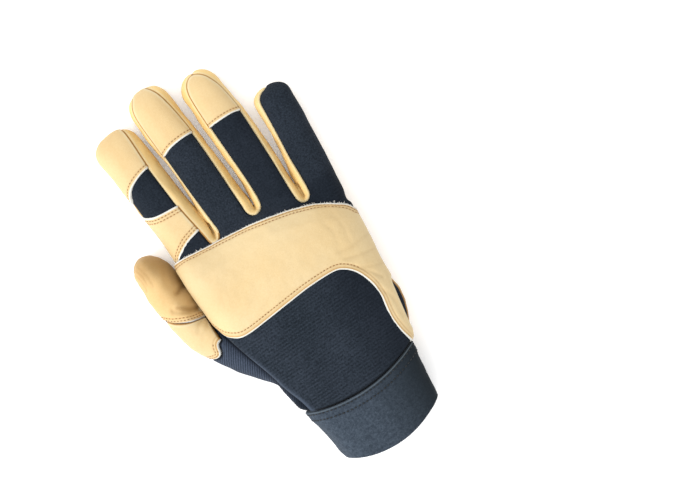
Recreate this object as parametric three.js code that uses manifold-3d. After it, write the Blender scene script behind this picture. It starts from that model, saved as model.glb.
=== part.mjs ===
// A right-hand work glove lying palm down: golden leather palm, navy knit back, leather side
// strips between the fingers, leather caps and knuckle strap on the back, and a soft wrist cuff
// closed by a tab under the wrist.
// Millimetres. +X runs from the thumb side to the little-finger side, +Y to the fingertips, +Z up.
// The origin is on the underside of the heel patch, where the palm rests.

import * as THREE from 'three';
import { mergeVertices } from 'three/addons/utils/BufferGeometryUtils.js';
import Module from 'manifold-3d';

const wasm = await Module();
wasm.setup();

// Lengths along the hand
const originToWrist = 68.5;
const wristToCrotch = 122;
const cuffLength = 37.5;
const cuffBow = 7.5;
const hemBow = 12;

// Widths and heights of the hand
const centreX = 8.5;
const knuckleWidth = 109;
const wristWidth = 77;
const cuffWidth = 73;
const hemWidth = 66;
const knuckleHeight = 38;
const wristHeight = 34;
const hemHeight = 35;
const fingerRootHeight = 27;

// Material thicknesses and clearances
const shellWall = 1.6;
const overlayThickness = 1.1;
const cuffWall = 2.6;
const tabThickness = 2.2;
const tabInset = 3.5;
const tabRound = 10;
const seamGap = 0.3;

// Heights of the cuts that part the back from the palm
const sideSeamHeight = 18.5;
const fingerSideSeamHeight = 9.5;
const forkSeamHeight = 4;
const thumbSeamHeight = 13;

// Strip widths left visible outside the back panel's seams, and the rounded ends of its notches
const wideFork = 6.3;
const mediumFork = 3.8;
const littleFork = 3.2;
const narrowFork = 1.8;
const wrapOver = -4;
const tipInset = 1.6;
const notchRadius = 4.2;

// Thumb
const thumbLength = 76;
const thumbWidth = 23.4;
const thumbHeight = 26;
const thumbClearance = 0.8;
const thumbTipRound = 13;

// Fingers: where each leaves the palm, as shares of half the knuckle width and of the hand's
// length, its lean towards the little finger in degrees, its length, width and thickness as shares
// of the middle finger's, and the strips outside its seams on either side.
const middleFingerLength = 105.5;
const fingerWidth = 27.6;
const fingerRows = [
  {
    name: 'index', rootU: -0.716, rootV: 0.971, lean: -3.4,
    long: 0.891, wide: 0.993, thick: 1, left: wrapOver, right: wideFork
  },
  {
    name: 'middle', rootU: -0.174, rootV: 0.971, lean: -2.2,
    long: 1, wide: 1, thick: 1, left: narrowFork, right: mediumFork
  },
  {
    name: 'ring', rootU: 0.382, rootV: 0.939, lean: -1.3,
    long: 0.953, wide: 0.964, thick: 0.97, left: mediumFork, right: narrowFork
  },
  {
    name: 'little', rootU: 0.82, rootV: 0.873, lean: 5.2,
    long: 0.735, wide: 0.855, thick: 0.9, left: littleFork, right: wrapOver
  }
];
const fingers = fingerRows.map((row) => ({
  ...row,
  length: row.long * middleFingerLength,
  width: row.wide * fingerWidth
}));
const fingerTipRound = 12;
const fingerMidHeight = 20.5;
const fingerTipHeight = 17.5;

// Sections down a finger: share of its length, share of its width, lift of its underside and
// height of its back.
const fingerSections = [
  { along: -0.1, width: 0.8, lift: 5, top: fingerRootHeight - 3 },
  { along: 0, width: 1, lift: 1, top: fingerRootHeight },
  { along: 0.12, width: 1.05, lift: 0.6, top: fingerRootHeight - 1.6 },
  { along: 0.3, width: 1.02, lift: 0, top: fingerMidHeight + 2 },
  { along: 0.55, width: 1, lift: 0, top: fingerMidHeight },
  { along: 0.84, width: 0.97, lift: 0, top: fingerTipHeight }
];

// Sections of the hand from the cuff seam to the finger roots: share of wristToCrotch on the
// centre line, spread of each side from the wrist's half width (0) to the knuckles' (1), how far
// the sides lie ahead of the centre line, how far the little-finger side lies behind the thumb
// side, lift of the underside, top, and 1 where a thicker skin also reaches further forward.
const at = (share) => THREE.MathUtils.lerp(wristHeight, knuckleHeight, share);
const handSections = [
  { along: 0, left: 0, right: 0, bow: cuffBow, slant: 0, lift: 2.4, top: at(0), push: 0 },
  { along: 0.11, left: 0.19, right: 0.44, bow: 5, slant: 0, lift: 1, top: at(0.2), push: 0 },
  { along: 0.205, left: 0.28, right: 0.69, bow: 3.5, slant: 0, lift: 0, top: at(0.5), push: 0 },
  { along: 0.316, left: 0.44, right: 0.81, bow: 2, slant: 0, lift: 0, top: at(0.8), push: 0 },
  { along: 0.46, left: 0.72, right: 0.72, bow: 0.5, slant: 0, lift: 0, top: at(1), push: 0 },
  { along: 0.602, left: 0.94, right: 0.875, bow: 0, slant: 0, lift: 0, top: at(1), push: 0 },
  { along: 0.725, left: 1, right: 0.97, bow: 0, slant: 0, lift: 0, top: at(1), push: 0 },
  { along: 0.836, left: 1, right: 1.06, bow: 0, slant: 3, lift: 0, top: knuckleHeight - 2, push: 0 },
  { along: 0.92, left: 1, right: 1.08, bow: -1.5, slant: 12, lift: 0, top: knuckleHeight - 5, push: 0.5 },
  { along: 0.97, left: 0.97, right: 1.05, bow: -2.5, slant: 14, lift: 1, top: fingerRootHeight, push: 1 },
  { along: 0.995, left: 0.86, right: 0.95, bow: -3, slant: 14, lift: 5, top: fingerRootHeight - 5, push: 1 },
  { along: 1.005, left: 0.6, right: 0.7, bow: -2, slant: 11, lift: 8, top: fingerRootHeight - 9, push: 1 }
];

// Sections of the thumb from inside the palm to its last full width: share of its length,
// shift of its middle towards the palm and width, both as shares of its width, lift and top.
const thumbSections = [
  { along: -0.5, shift: 1.52, width: 0.95, lift: 4, top: 0.76 * thumbHeight },
  { along: -0.4, shift: 1.48, width: 1.22, lift: 1.4, top: 0.92 * thumbHeight },
  { along: -0.29, shift: 1.25, width: 1.42, lift: 0.6, top: thumbHeight },
  { along: -0.17, shift: 0.98, width: 1.46, lift: 0, top: 1.06 * thumbHeight },
  { along: -0.05, shift: 0.74, width: 1.46, lift: 0, top: 1.08 * thumbHeight },
  { along: 0.07, shift: 0.5, width: 1.42, lift: 0, top: 1.06 * thumbHeight },
  { along: 0.18, shift: 0.31, width: 1.32, lift: 0, top: 1.04 * thumbHeight },
  { along: 0.28, shift: 0.14, width: 1.14, lift: 0, top: 1.02 * thumbHeight },
  { along: 0.38, shift: 0.06, width: 1.05, lift: 0, top: 1.01 * thumbHeight },
  { along: 0.52, shift: 0.01, width: 1, lift: 0, top: thumbHeight },
  { along: 0.7, shift: 0, width: 1, lift: 0, top: 0.96 * thumbHeight },
  { along: 0.83, shift: 0, width: 0.97, lift: 0, top: 0.9 * thumbHeight }
];

// Outlines in plan: u is a share of half the knuckle width from the hand's centre line, v a share
// of wristToCrotch from the cuff seam. Each is a smooth curve through its few points.
const foldLine = [
  { u: -0.622, v: 0 }, { u: -0.67, v: 0.11 }, { u: -0.745, v: 0.25 }, { u: -0.853, v: 0.4 },
  { u: -0.945, v: 0.53 }, { u: -1.012, v: 0.68 }
];
const strapFrontEdge = [
  { u: -1.012, v: 1.025 }, { u: -0.6, v: 1.0 }, { u: -0.156, v: 0.98 }, { u: 0.3, v: 0.932 },
  { u: 0.7, v: 0.868 }, { u: 0.93, v: 0.8 }, { u: 1.04, v: 0.72 }
];
const strapTailOuterEdge = [
  { u: 0.9, v: 0.39 }, { u: 0.908, v: 0.315 }, { u: 0.865, v: 0.225 }, { u: 0.785, v: 0.135 },
  { u: 0.705, v: 0.075 }
];
const strapRearEdge = [
  { u: 0.67, v: 0.127 }, { u: 0.655, v: 0.184 }, { u: 0.725, v: 0.283 }, { u: 0.752, v: 0.34 },
  { u: 0.67, v: 0.463 }, { u: 0.523, v: 0.545 },
  { u: 0.35, v: 0.562 }, { u: -0.15, v: 0.553 }, { u: -0.66, v: 0.537 }, { u: -0.87, v: 0.56 },
  { u: -0.985, v: 0.655 }, { u: -1.012, v: 0.709 }
];
const palmStripEdge = [
  { u: -0.082, v: -0.04 }, { u: -0.27, v: 0.09 }, { u: -0.505, v: 0.195 },
  { u: -0.78, v: 0.315 }, { u: -1.055, v: 0.48 }, { u: -1.2, v: 0.63 }
];
const upperPatchFrontEdge = [
  { u: -1.0, v: 0.933 }, { u: -0.69, v: 0.934 }, { u: -0.46, v: 0.929 },
  { u: -0.05, v: 0.895 }, { u: 0.25, v: 0.893 }, { u: 0.55, v: 0.86 },
  { u: 0.8, v: 0.775 }, { u: 0.95, v: 0.66 }
];
const upperPatchRearEdge = [
  { u: 0.93, v: 0.52 }, { u: 0.65, v: 0.514 }, { u: 0.4, v: 0.517 }, { u: 0.14, v: 0.55 },
  { u: -0.23, v: 0.658 }, { u: -0.54, v: 0.737 }, { u: -1.0, v: 0.768 }
];
const heelPatchFrontEdge = [
  { u: -0.4, v: 0.687 }, { u: -0.23, v: 0.642 }, { u: 0.14, v: 0.523 }, { u: 0.33, v: 0.48 },
  { u: 0.5, v: 0.463 }, { u: 0.65, v: 0.486 }, { u: 0.9, v: 0.49 }
];
const heelPatchRearEdge = [
  { u: 0.95, v: 0.4 }, { u: 0.93, v: 0.27 }, { u: 0.8, v: 0.16 }, { u: 0.62, v: 0.08 },
  { u: 0.4, v: 0.062 }, { u: 0.22, v: 0.07 }, { u: 0.15, v: 0.1 }, { u: 0.12, v: 0.18 },
  { u: 0.03, v: 0.32 },
  { u: -0.13, v: 0.38 }, { u: -0.34, v: 0.49 }, { u: -0.43, v: 0.6 }
];

// Hems of the leather pieces on the fingers: t is a share of half the finger's width, s a share
// of its length.
const capHems = {
  index: [
    { t: 1.2, s: 0.682 }, { t: 0.4, s: 0.678 }, { t: -0.3, s: 0.645 }, { t: -0.8, s: 0.578 },
    { t: -1.15, s: 0.505 }
  ],
  middle: [{ t: 1.2, s: 0.63 }, { t: 0.3, s: 0.634 }, { t: -0.4, s: 0.625 }, { t: -1.2, s: 0.598 }],
  ring: [{ t: 1.2, s: 0.638 }, { t: 0.4, s: 0.66 }, { t: -0.4, s: 0.66 }, { t: -1.2, s: 0.658 }]
};
const indexPatchFrontHem = [
  { t: 1.2, s: 0.38 }, { t: 0.3, s: 0.385 }, { t: -0.35, s: 0.4 }, { t: -0.8, s: 0.435 },
  { t: -1.15, s: 0.495 }
];
const indexPatchRearHem = [
  { t: -0.85, s: 0.035 }, { t: -0.45, s: 0.085 }, { t: 0, s: 0.13 }, { t: 0.55, s: 0.15 },
  { t: 1.2, s: 0.165 }
];

// Cross-section of every limb: a superellipse whose underside is pressed flat on its floor.
const sideExponent = 2.4;
const topExponent = 2.1;
const bottomExponent = 2.8;
const pressedDepth = 1.8;
const tipExponent = 2.4;
const handPoints = 24;
const fingerPoints = 12;

const palmFloor = overlayThickness + seamGap;
const cuffFloor = tabThickness + seamGap;
const cuffProud = 0.8;
const wristY = -originToWrist;
const hemY = wristY - cuffLength;
const thumbSideX = centreX - 0.5 * knuckleWidth - thumbClearance;
const thumbX = thumbSideX - 0.5 * thumbWidth - thumbClearance;
const thumbRootY = wristY + 0.52 * wristToCrotch;
const highZ = 2 * knuckleHeight;
const farSide = knuckleWidth;

const signedPower = (value, power) => Math.sign(value) * Math.abs(value) ** power;

const planPoint = ({ u, v }) => new THREE.Vector2(
  centreX + (u * knuckleWidth) / 2,
  wristY + v * wristToCrotch
);

const smoothLine = (points, pieces = 12) => new THREE.SplineCurve(points).getPoints(pieces);

const planLine = (rows, pieces) => smoothLine(rows.map(planPoint), pieces);

// One closed ring of a limb. place(share) gives the plan position at a share of the half width.
function sectionRing(count, place, halfWidth, floor, top, skin) {
  const middle = 0.5 * (floor + top);
  const ring = [];
  for (let i = 0; i < count; i += 1) {
    const angle = (2 * Math.PI * i) / count;
    const side = signedPower(Math.cos(angle), 2 / sideExponent);
    const sine = Math.sin(angle);
    const rise = sine >= 0
      ? (top - middle + skin) * sine ** (2 / topExponent)
      : -(middle - floor + pressedDepth + skin) * (-sine) ** (2 / bottomExponent);
    const [x, y] = place(side, halfWidth + skin);
    ring.push(new THREE.Vector3(x, y, Math.max(middle + rise, floor - skin)));
  }
  return ring;
}

// A solid through rings of equal count, closed at both ends by ladders of triangles across.
function loft(rings) {
  const count = rings[0].length;
  const points = rings.flat().flatMap((p) => [p.x, p.y, p.z]);
  const faces = [];
  for (let r = 0; r + 1 < rings.length; r += 1) {
    for (let i = 0; i < count; i += 1) {
      const a = r * count + i;
      const b = r * count + ((i + 1) % count);
      faces.push(a, a + count, b, b, a + count, b + count);
    }
  }
  const closeEnd = (start, flip) => {
    const cap = (a, b, c) => {
      const corners = flip ? [a, c, b] : [a, b, c];
      faces.push(...corners.map((corner) => start + corner));
    };
    cap(0, 1, count - 1);
    for (let i = 1; i < count / 2 - 1; i += 1) {
      cap(i, i + 1, count - i);
      cap(i + 1, count - i - 1, count - i);
    }
    cap(count / 2 - 1, count / 2, count / 2 + 1);
  };
  closeEnd(0, false);
  closeEnd((rings.length - 1) * count, true);
  const geometry = new THREE.BufferGeometry();
  geometry.setAttribute('position', new THREE.Float32BufferAttribute(points, 3));
  geometry.setIndex(faces);
  return solidOf(geometry);
}

// A closed three.js geometry as a solid for cutting and joining.
function solidOf(geometry) {
  const bare = geometry.clone();
  bare.deleteAttribute('normal');
  bare.deleteAttribute('uv');
  const merged = mergeVertices(bare, 1e-4);
  const vertProperties = merged.attributes.position.array;
  const triVerts = new Uint32Array(merged.index.array);
  const solid = new wasm.Manifold(new wasm.Mesh({ numProp: 3, vertProperties, triVerts }));
  if (solid.volume() > 0) return solid;
  for (let i = 0; i < triVerts.length; i += 3) {
    [triVerts[i + 1], triVerts[i + 2]] = [triVerts[i + 2], triVerts[i + 1]];
  }
  return new wasm.Manifold(new wasm.Mesh({ numProp: 3, vertProperties, triVerts }));
}

// A block standing on a plan outline, from one height to another.
function block(outline, low, high) {
  const options = { depth: high - low, bevelEnabled: false };
  const geometry = new THREE.ExtrudeGeometry(new THREE.Shape(outline), options);
  geometry.translate(0, 0, low);
  return solidOf(geometry);
}

// Everything above a height that changes along the hand: a profile in y and z swept across.
function above(profile) {
  const first = profile[0];
  const last = profile[profile.length - 1];
  const outline = [...profile, new THREE.Vector2(last.x, highZ), new THREE.Vector2(first.x, highZ)];
  const options = { depth: 4 * farSide, bevelEnabled: false };
  const geometry = new THREE.ExtrudeGeometry(new THREE.Shape(outline), options);
  geometry.translate(0, 0, -2 * farSide);
  const yToX = new THREE.Matrix4().set(0, 0, 1, 0, 1, 0, 0, 0, 0, 1, 0, 0, 0, 0, 0, 1);
  return solidOf(geometry.applyMatrix4(yToX));
}

// An outline moved outwards by a distance, its corners mitred.
function grown(outline, distance) {
  const points = outline.filter((p, i) => p.distanceTo(outline[(i + 1) % outline.length]) > 1e-3);
  const turn = Math.sign(THREE.ShapeUtils.area(points));
  const outward = (p, q) => new THREE.Vector2(q.y - p.y, p.x - q.x).normalize().multiplyScalar(turn);
  return points.map((p, i) => {
    const before = outward(points[(i + points.length - 1) % points.length], p);
    const after = outward(p, points[(i + 1) % points.length]);
    const both = before.clone().add(after).normalize();
    return p.clone().addScaledVector(both, distance / Math.max(both.dot(after), 0.4));
  });
}

const largest = (solid) => solid.decompose().sort((a, b) => b.volume() - a.volume())[0];

// The hand without its fingers, grown by a skin, from the cuff seam forward. run is how far a
// hollow runs on behind the seam.
function handSolid(skin, run = 0) {
  const narrow = wristWidth / 2;
  const widen = (knuckleWidth - wristWidth) / 2;
  const rings = handSections.map((row) => {
    const y = wristY + row.along * wristToCrotch + row.push * skin;
    const left = -(narrow + widen * row.left);
    const right = narrow + widen * row.right;
    const middleX = centreX + 0.5 * (left + right);
    const place = (side, half) => [
      middleX + side * half,
      y + row.bow * side * side - 0.5 * row.slant * side
    ];
    return sectionRing(
      handPoints, place, 0.5 * (right - left), palmFloor + row.lift, row.top, skin
    );
  });
  if (run > 0) rings.unshift(rings[0].map((p) => p.clone().setY(p.y - run)));
  return loft(rings);
}

// Plan position in a finger: s along it from its root, t across it.
function fingerPlace(finger) {
  const root = planPoint({ u: finger.rootU, v: finger.rootV });
  const lean = THREE.MathUtils.degToRad(finger.lean);
  return (s, t) => new THREE.Vector2(
    root.x + s * Math.sin(lean) + t * Math.cos(lean),
    root.y + s * Math.cos(lean) - t * Math.sin(lean)
  );
}

// Shares of a tip's full width and of its rounding length, from its start to its end.
const tipSteps = [0.45, 0.75, 0.92, 1].map((reach) => ({
  reach,
  width: (1.02 - reach ** tipExponent) ** (1 / tipExponent)
}));

function fingerSolid(finger, skin) {
  const place = fingerPlace(finger);
  const half = finger.width / 2;
  const tipStart = finger.length - fingerTipRound;
  const ringAt = (s, width, floor, top) => sectionRing(
    fingerPoints, (side, w) => place(s, side * w).toArray(), width, floor, top, skin
  );
  const rings = fingerSections.map((row, i) => ringAt(
    row.along * finger.length - (i === 0 ? skin : 0),
    half * row.width,
    palmFloor * row.lift,
    row.top * finger.thick
  ));
  const tipTop = fingerTipHeight * finger.thick;
  for (const step of tipSteps) {
    const s = tipStart + (fingerTipRound + skin) * step.reach;
    const shrink = (1 - step.width) * 0.5 * tipTop;
    rings.push(sectionRing(
      fingerPoints,
      (side, w) => place(s, side * w).toArray(),
      (half * 0.96 + skin) * step.width - skin,
      0.8 * shrink,
      tipTop - 1.2 * shrink,
      skin * step.width
    ));
  }
  return loft(rings);
}

function thumbSolid(skin) {
  const rings = thumbSections.map((row, i) => {
    const x = thumbX + row.shift * thumbWidth;
    const y = thumbRootY + row.along * thumbLength - (i === 0 ? skin : 0);
    const half = 0.5 * thumbWidth * row.width;
    return sectionRing(fingerPoints, (side, w) => [x + side * w, y], half, row.lift, row.top, skin);
  });
  const tipStart = thumbRootY + thumbLength - thumbTipRound;
  const tipTop = 0.88 * thumbHeight;
  for (const step of tipSteps) {
    const y = tipStart + (thumbTipRound + skin) * step.reach;
    const shrink = (1 - step.width) * 0.5 * tipTop;
    rings.push(sectionRing(
      fingerPoints,
      (side, w) => [thumbX + side * w, y],
      (0.48 * thumbWidth + skin) * step.width - skin,
      0.9 * shrink,
      tipTop - 1.1 * shrink,
      skin * step.width
    ));
  }
  return loft(rings);
}

function gloveSolid(skin, run) {
  const limbs = [...fingers.map((finger) => fingerSolid(finger, skin)), thumbSolid(skin)];
  return limbs.reduce((whole, limb) => whole.add(limb), handSolid(skin, run));
}

// The soft cuff band behind the seam, as a closed solid grown by a skin. run is how far a hollow
// runs on past both ends.
function cuffSolid(skin, run = 0) {
  const rows = [
    { y: hemY, width: hemWidth, bow: hemBow, top: hemHeight },
    {
      y: wristY - 0.5 * cuffLength,
      width: 0.5 * (hemWidth + cuffWidth),
      bow: 0.5 * (hemBow + cuffBow),
      top: hemHeight
    },
    { y: wristY - seamGap, width: cuffWidth, bow: cuffBow, top: wristHeight }
  ];
  const rings = rows.map((row) => sectionRing(
    handPoints,
    (side, half) => {
      const across = (2 * side * half) / wristWidth;
      return [centreX + side * half, row.y + row.bow * across * across];
    },
    0.5 * row.width,
    cuffFloor + cuffProud,
    row.top,
    skin
  ));
  if (run > 0) {
    rings.unshift(rings[0].map((p) => p.clone().setY(p.y - run)));
    rings.push(rings[rings.length - 1].map((p) => p.clone().setY(p.y + run)));
  }
  return loft(rings);
}

// The strip of the back panel on one finger, from its thumb-side seam over the tip to the other.
function fingerStrip(finger) {
  const place = fingerPlace(finger);
  const half = finger.width / 2;
  const left = -(half - finger.left);
  const right = half - finger.right;
  const tipStart = finger.length - fingerTipRound;
  const reach = fingerTipRound - tipInset;
  const points = [place(0.3 * finger.length, left)];
  for (let step = 0; step <= 8; step += 1) {
    const angle = Math.PI * (1 - step / 8);
    const side = signedPower(Math.cos(angle), 2 / tipExponent);
    const across = 0.5 * (left + right) + 0.5 * (right - left) * side;
    points.push(place(tipStart + reach * Math.sin(angle) ** (2 / tipExponent), across));
  }
  points.push(place(0.3 * finger.length, right));
  return points;
}

// Rounded bottoms of the notches between the strips: each starts at the seam of one finger and
// ends at the seam of the next.
const notches = [{ u: -0.468, v: 0.994 }, { u: 0.073, v: 1.004 }, { u: 0.606, v: 0.919 }];

function notchBottom(notch) {
  const centre = planPoint(notch);
  const points = [];
  for (let step = 0; step <= 6; step += 1) {
    const angle = Math.PI * (1 + step / 6);
    points.push(new THREE.Vector2(
      centre.x + notchRadius * Math.cos(angle),
      centre.y + notchRadius * (1 + Math.sin(angle))
    ));
  }
  return points;
}

// Plan outline of the whole knit back. On its outer sides it runs past the silhouette, and the
// side seam's height ends it there.
const strips = fingers.map(fingerStrip);
const backOutline = [
  ...planLine(foldLine),
  new THREE.Vector2(thumbSideX, strips[0][0].y),
  ...strips.flatMap((strip, i) => (notches[i] ? [...strip, ...notchBottom(notches[i])] : strip)),
  new THREE.Vector2(centreX + farSide, strips[3][0].y),
  new THREE.Vector2(centreX + farSide, hemY),
  new THREE.Vector2(planPoint(foldLine[0]).x, hemY)
];

const rootY = wristY + wristToCrotch;
const seamProfile = (fingerHeight, shift) => [
  new THREE.Vector2(hemY - farSide, sideSeamHeight + shift),
  new THREE.Vector2(wristY + 0.75 * wristToCrotch, sideSeamHeight + shift),
  new THREE.Vector2(rootY + 6, fingerHeight + 3 + shift),
  new THREE.Vector2(rootY + 45, fingerHeight + shift),
  new THREE.Vector2(rootY + 2 * farSide, fingerHeight + shift)
];

const outer = gloveSolid(0, 0);
const hollow = gloveSolid(-shellWall, 20);
const shell = outer.subtract(hollow);
const overlay = gloveSolid(seamGap + overlayThickness, 20).subtract(gloveSolid(seamGap, 30));
const aboveSideSeam = (gap) => above(seamProfile(fingerSideSeamHeight, -gap));
const backRegion = (gap) => block(gap ? grown(backOutline, gap) : backOutline, -highZ, highZ)
  .intersect(aboveSideSeam(gap));

// Side strips between neighbouring fingers, from one finger's middle line to the next.
function forkRegion([near, next], gap) {
  const nearPlace = fingerPlace(near);
  const nextPlace = fingerPlace(next);
  const nearEnd = near.length - 0.62 * fingerTipRound + gap;
  const nextEnd = next.length - 0.62 * fingerTipRound + gap;
  const outline = [
    nearPlace(-fingerTipRound, 0),
    nextPlace(-fingerTipRound, 0),
    nextPlace(nextEnd, 0),
    nextPlace(nextEnd, -0.55 * next.width),
    nearPlace(nearEnd, 0.55 * near.width),
    nearPlace(nearEnd, 0)
  ];
  return block(outline, -highZ, highZ).intersect(above(seamProfile(forkSeamHeight, -gap)));
}

const thumbMiddleLine = [
  new THREE.Vector2(thumbX, thumbRootY + 0.4 * thumbLength),
  new THREE.Vector2(thumbX, thumbRootY + 1.2 * thumbLength)
];

// Leather on the back of the thumb, from its hem to its tip, and the seam across it.
const thumbHem = smoothLine([
  new THREE.Vector2(thumbX - 0.7 * thumbWidth, thumbRootY + 0.07 * thumbLength),
  new THREE.Vector2(thumbX - 0.03 * thumbWidth, thumbRootY + 0.02 * thumbLength),
  new THREE.Vector2(thumbX + 0.22 * thumbWidth, thumbRootY),
  new THREE.Vector2(thumbX + 0.4 * thumbWidth, thumbRootY + 0.08 * thumbLength),
  new THREE.Vector2(thumbSideX, thumbRootY + 0.105 * thumbLength)
], 10);
const thumbSeam = smoothLine([
  new THREE.Vector2(thumbX - 0.7 * thumbWidth, thumbRootY + 0.54 * thumbLength),
  new THREE.Vector2(thumbX - 0.25 * thumbWidth, thumbRootY + 0.415 * thumbLength),
  new THREE.Vector2(thumbX + 0.1 * thumbWidth, thumbRootY + 0.365 * thumbLength),
  new THREE.Vector2(thumbSideX, thumbRootY + 0.335 * thumbLength)
], 10);
const thumbTop = (rear, front, gap) => block(
  gap ? grown([...rear, ...front], gap) : [...rear, ...front], thumbSeamHeight - gap, highZ
);
const thumbAhead = [
  new THREE.Vector2(thumbSideX, thumbRootY + 1.1 * thumbLength),
  new THREE.Vector2(thumbX - thumbWidth, thumbRootY + 1.1 * thumbLength)
];
const thumbTopRegion = (gap) => thumbTop(thumbHem, thumbAhead, gap);
const thumbUpperRegion = thumbTop(thumbSeam, thumbAhead, 0);
const thumbSeamRear = grown([...thumbSeam, ...thumbAhead], seamGap).slice(0, thumbSeam.length);
const thumbLowerRegion = thumbTop(thumbHem, thumbSeamRear.reverse(), 0);

// Knit strip on the thumb's outer side: beside the thumb below its seam, then over the whole side
// of the wrist, from the fold line on the back to the palm's edge underneath.
const outwardFrom = (line) => [
  ...line,
  new THREE.Vector2(centreX - 2 * farSide, line[line.length - 1].y),
  new THREE.Vector2(centreX - 2 * farSide, line[0].y)
];
const stripUnder = outwardFrom([...planLine(palmStripEdge), ...thumbMiddleLine]);
const stripOver = outwardFrom([
  planPoint(foldLine[0]).setY(hemY),
  ...planLine(foldLine),
  ...thumbHem.slice().reverse()
]);
function stripRegion(gap) {
  const under = block(grown(stripUnder, gap), -highZ, thumbSeamHeight - seamGap + gap);
  const over = block(grown(stripOver, gap ? gap : -seamGap), thumbSeamHeight - 2 * seamGap, highZ);
  return under.add(over.subtract(thumbTopRegion(seamGap - gap)));
}

const backPanel = largest(shell.intersect(backRegion(0)));
const withoutBack = shell.subtract(backRegion(seamGap));
const neighbours = fingers.slice(1).map((finger, i) => [fingers[i], finger]);
const forks = neighbours.map((pair) => largest(withoutBack.intersect(forkRegion(pair, 0))));
const withoutForks = neighbours.reduce(
  (rest, pair) => rest.subtract(forkRegion(pair, seamGap)),
  withoutBack
);
const thumbUpper = largest(withoutForks.intersect(thumbUpperRegion));
const thumbLower = largest(withoutForks.intersect(thumbLowerRegion));
const withoutThumb = withoutForks.subtract(thumbTopRegion(seamGap));
const thumbStrip = largest(withoutThumb.intersect(stripRegion(0)));
const palm = largest(withoutThumb.subtract(stripRegion(seamGap)));

// Leather pieces laid over the back
const strapOutline = [
  ...planLine(strapFrontEdge, 20),
  new THREE.Vector2(centreX + farSide, planPoint(strapFrontEdge[6]).y),
  new THREE.Vector2(centreX + farSide, planPoint(strapTailOuterEdge[0]).y + 2),
  ...planLine(strapTailOuterEdge, 10),
  ...planLine(strapRearEdge, 36)
];
const strap = largest(overlay.intersect(block(strapOutline, 0, highZ)).intersect(aboveSideSeam(0)));

const fingerLine = (finger, rows) => smoothLine(
  rows.map(({ t, s }) => fingerPlace(finger)(s * finger.length, (t * finger.width) / 2)),
  10
);
function capSolid(finger) {
  const place = fingerPlace(finger);
  const outline = [
    ...fingerLine(finger, capHems[finger.name]),
    place(1.2 * finger.length, -finger.width),
    place(1.2 * finger.length, 0.6 * finger.width)
  ];
  return largest(overlay.intersect(backRegion(0)).intersect(block(outline, 0, highZ)));
}
const capped = fingers.filter((finger) => capHems[finger.name]);
const indexPatchOutline = [
  ...fingerLine(fingers[0], indexPatchFrontHem),
  ...fingerLine(fingers[0], indexPatchRearHem)
];
const indexPatch = largest(overlay
  .intersect(backRegion(0))
  .intersect(block(indexPatchOutline, 0, highZ))
  .subtract(block(grown(strapOutline, seamGap), 0, highZ)));

// Leather patches laid under the palm
const patchTop = 0.42 * sideSeamHeight;
const patch = (front, rear) => largest(
  overlay.intersect(block([...planLine(front, 20), ...planLine(rear, 24)], -1, patchTop))
);
const upperPatch = patch(upperPatchFrontEdge, upperPatchRearEdge);
const heelPatch = patch(heelPatchFrontEdge, heelPatchRearEdge);

// Wrist cuff and its closing tab
const cuff = cuffSolid(cuffProud).subtract(cuffSolid(cuffProud - cuffWall, 6));
const tabOverlay = cuffSolid(cuffProud + seamGap + tabThickness)
  .subtract(cuffSolid(cuffProud + seamGap, 6));
const tabEndX = centreX - 0.495 * cuffWidth * 0.5;
const tabFarX = centreX + 0.94 * cuffWidth * 0.5;
function tabOutline() {
  const bowAt = (x, bow) => bow * ((x - centreX) / (0.5 * wristWidth)) ** 2;
  const front = (x) => wristY - tabInset + bowAt(x, cuffBow);
  const rear = (x) => hemY + tabInset + bowAt(x, hemBow);
  const points = [];
  for (let step = 0; step <= 8; step += 1) {
    const angle = Math.PI * (0.5 + step / 8);
    const x = tabEndX + tabRound * (1 + Math.cos(angle));
    const middle = 0.5 * (front(x) + rear(x));
    const half = 0.5 * (front(x) - rear(x));
    points.push(new THREE.Vector2(x, middle + half * signedPower(Math.sin(angle), 0.7)));
  }
  for (let step = 1; step <= 6; step += 1) {
    const x = tabEndX + tabRound + ((tabFarX - tabEndX - tabRound) * step) / 6;
    points.push(new THREE.Vector2(x, rear(x)));
    points.unshift(new THREE.Vector2(x, front(x)));
  }
  return points;
}
const closureTab = largest(
  tabOverlay.intersect(block(tabOutline(), -highZ, 0.5 * wristHeight))
);

// Materials
const leather = new THREE.MeshStandardMaterial({ color: 0xf0d09a, roughness: 0.62, metalness: 0 });
const knit = new THREE.MeshStandardMaterial({ color: 0x2b333c, roughness: 0.92, metalness: 0 });
const neoprene = new THREE.MeshStandardMaterial({ color: 0x3e4a55, roughness: 0.95, metalness: 0 });
const loopTab = new THREE.MeshStandardMaterial({ color: 0x30373f, roughness: 1, metalness: 0 });
const ribKnit = new THREE.MeshStandardMaterial({ color: 0x495262, roughness: 0.95, metalness: 0 });

function meshOf(name, solid, material) {
  const { vertProperties, triVerts } = solid.getMesh();
  const geometry = new THREE.BufferGeometry();
  geometry.setAttribute('position', new THREE.Float32BufferAttribute(vertProperties, 3));
  geometry.setIndex(new THREE.Uint32BufferAttribute(triVerts, 1));
  geometry.computeVertexNormals();
  const mesh = new THREE.Mesh(geometry, material);
  mesh.name = name;
  return mesh;
}

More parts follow.
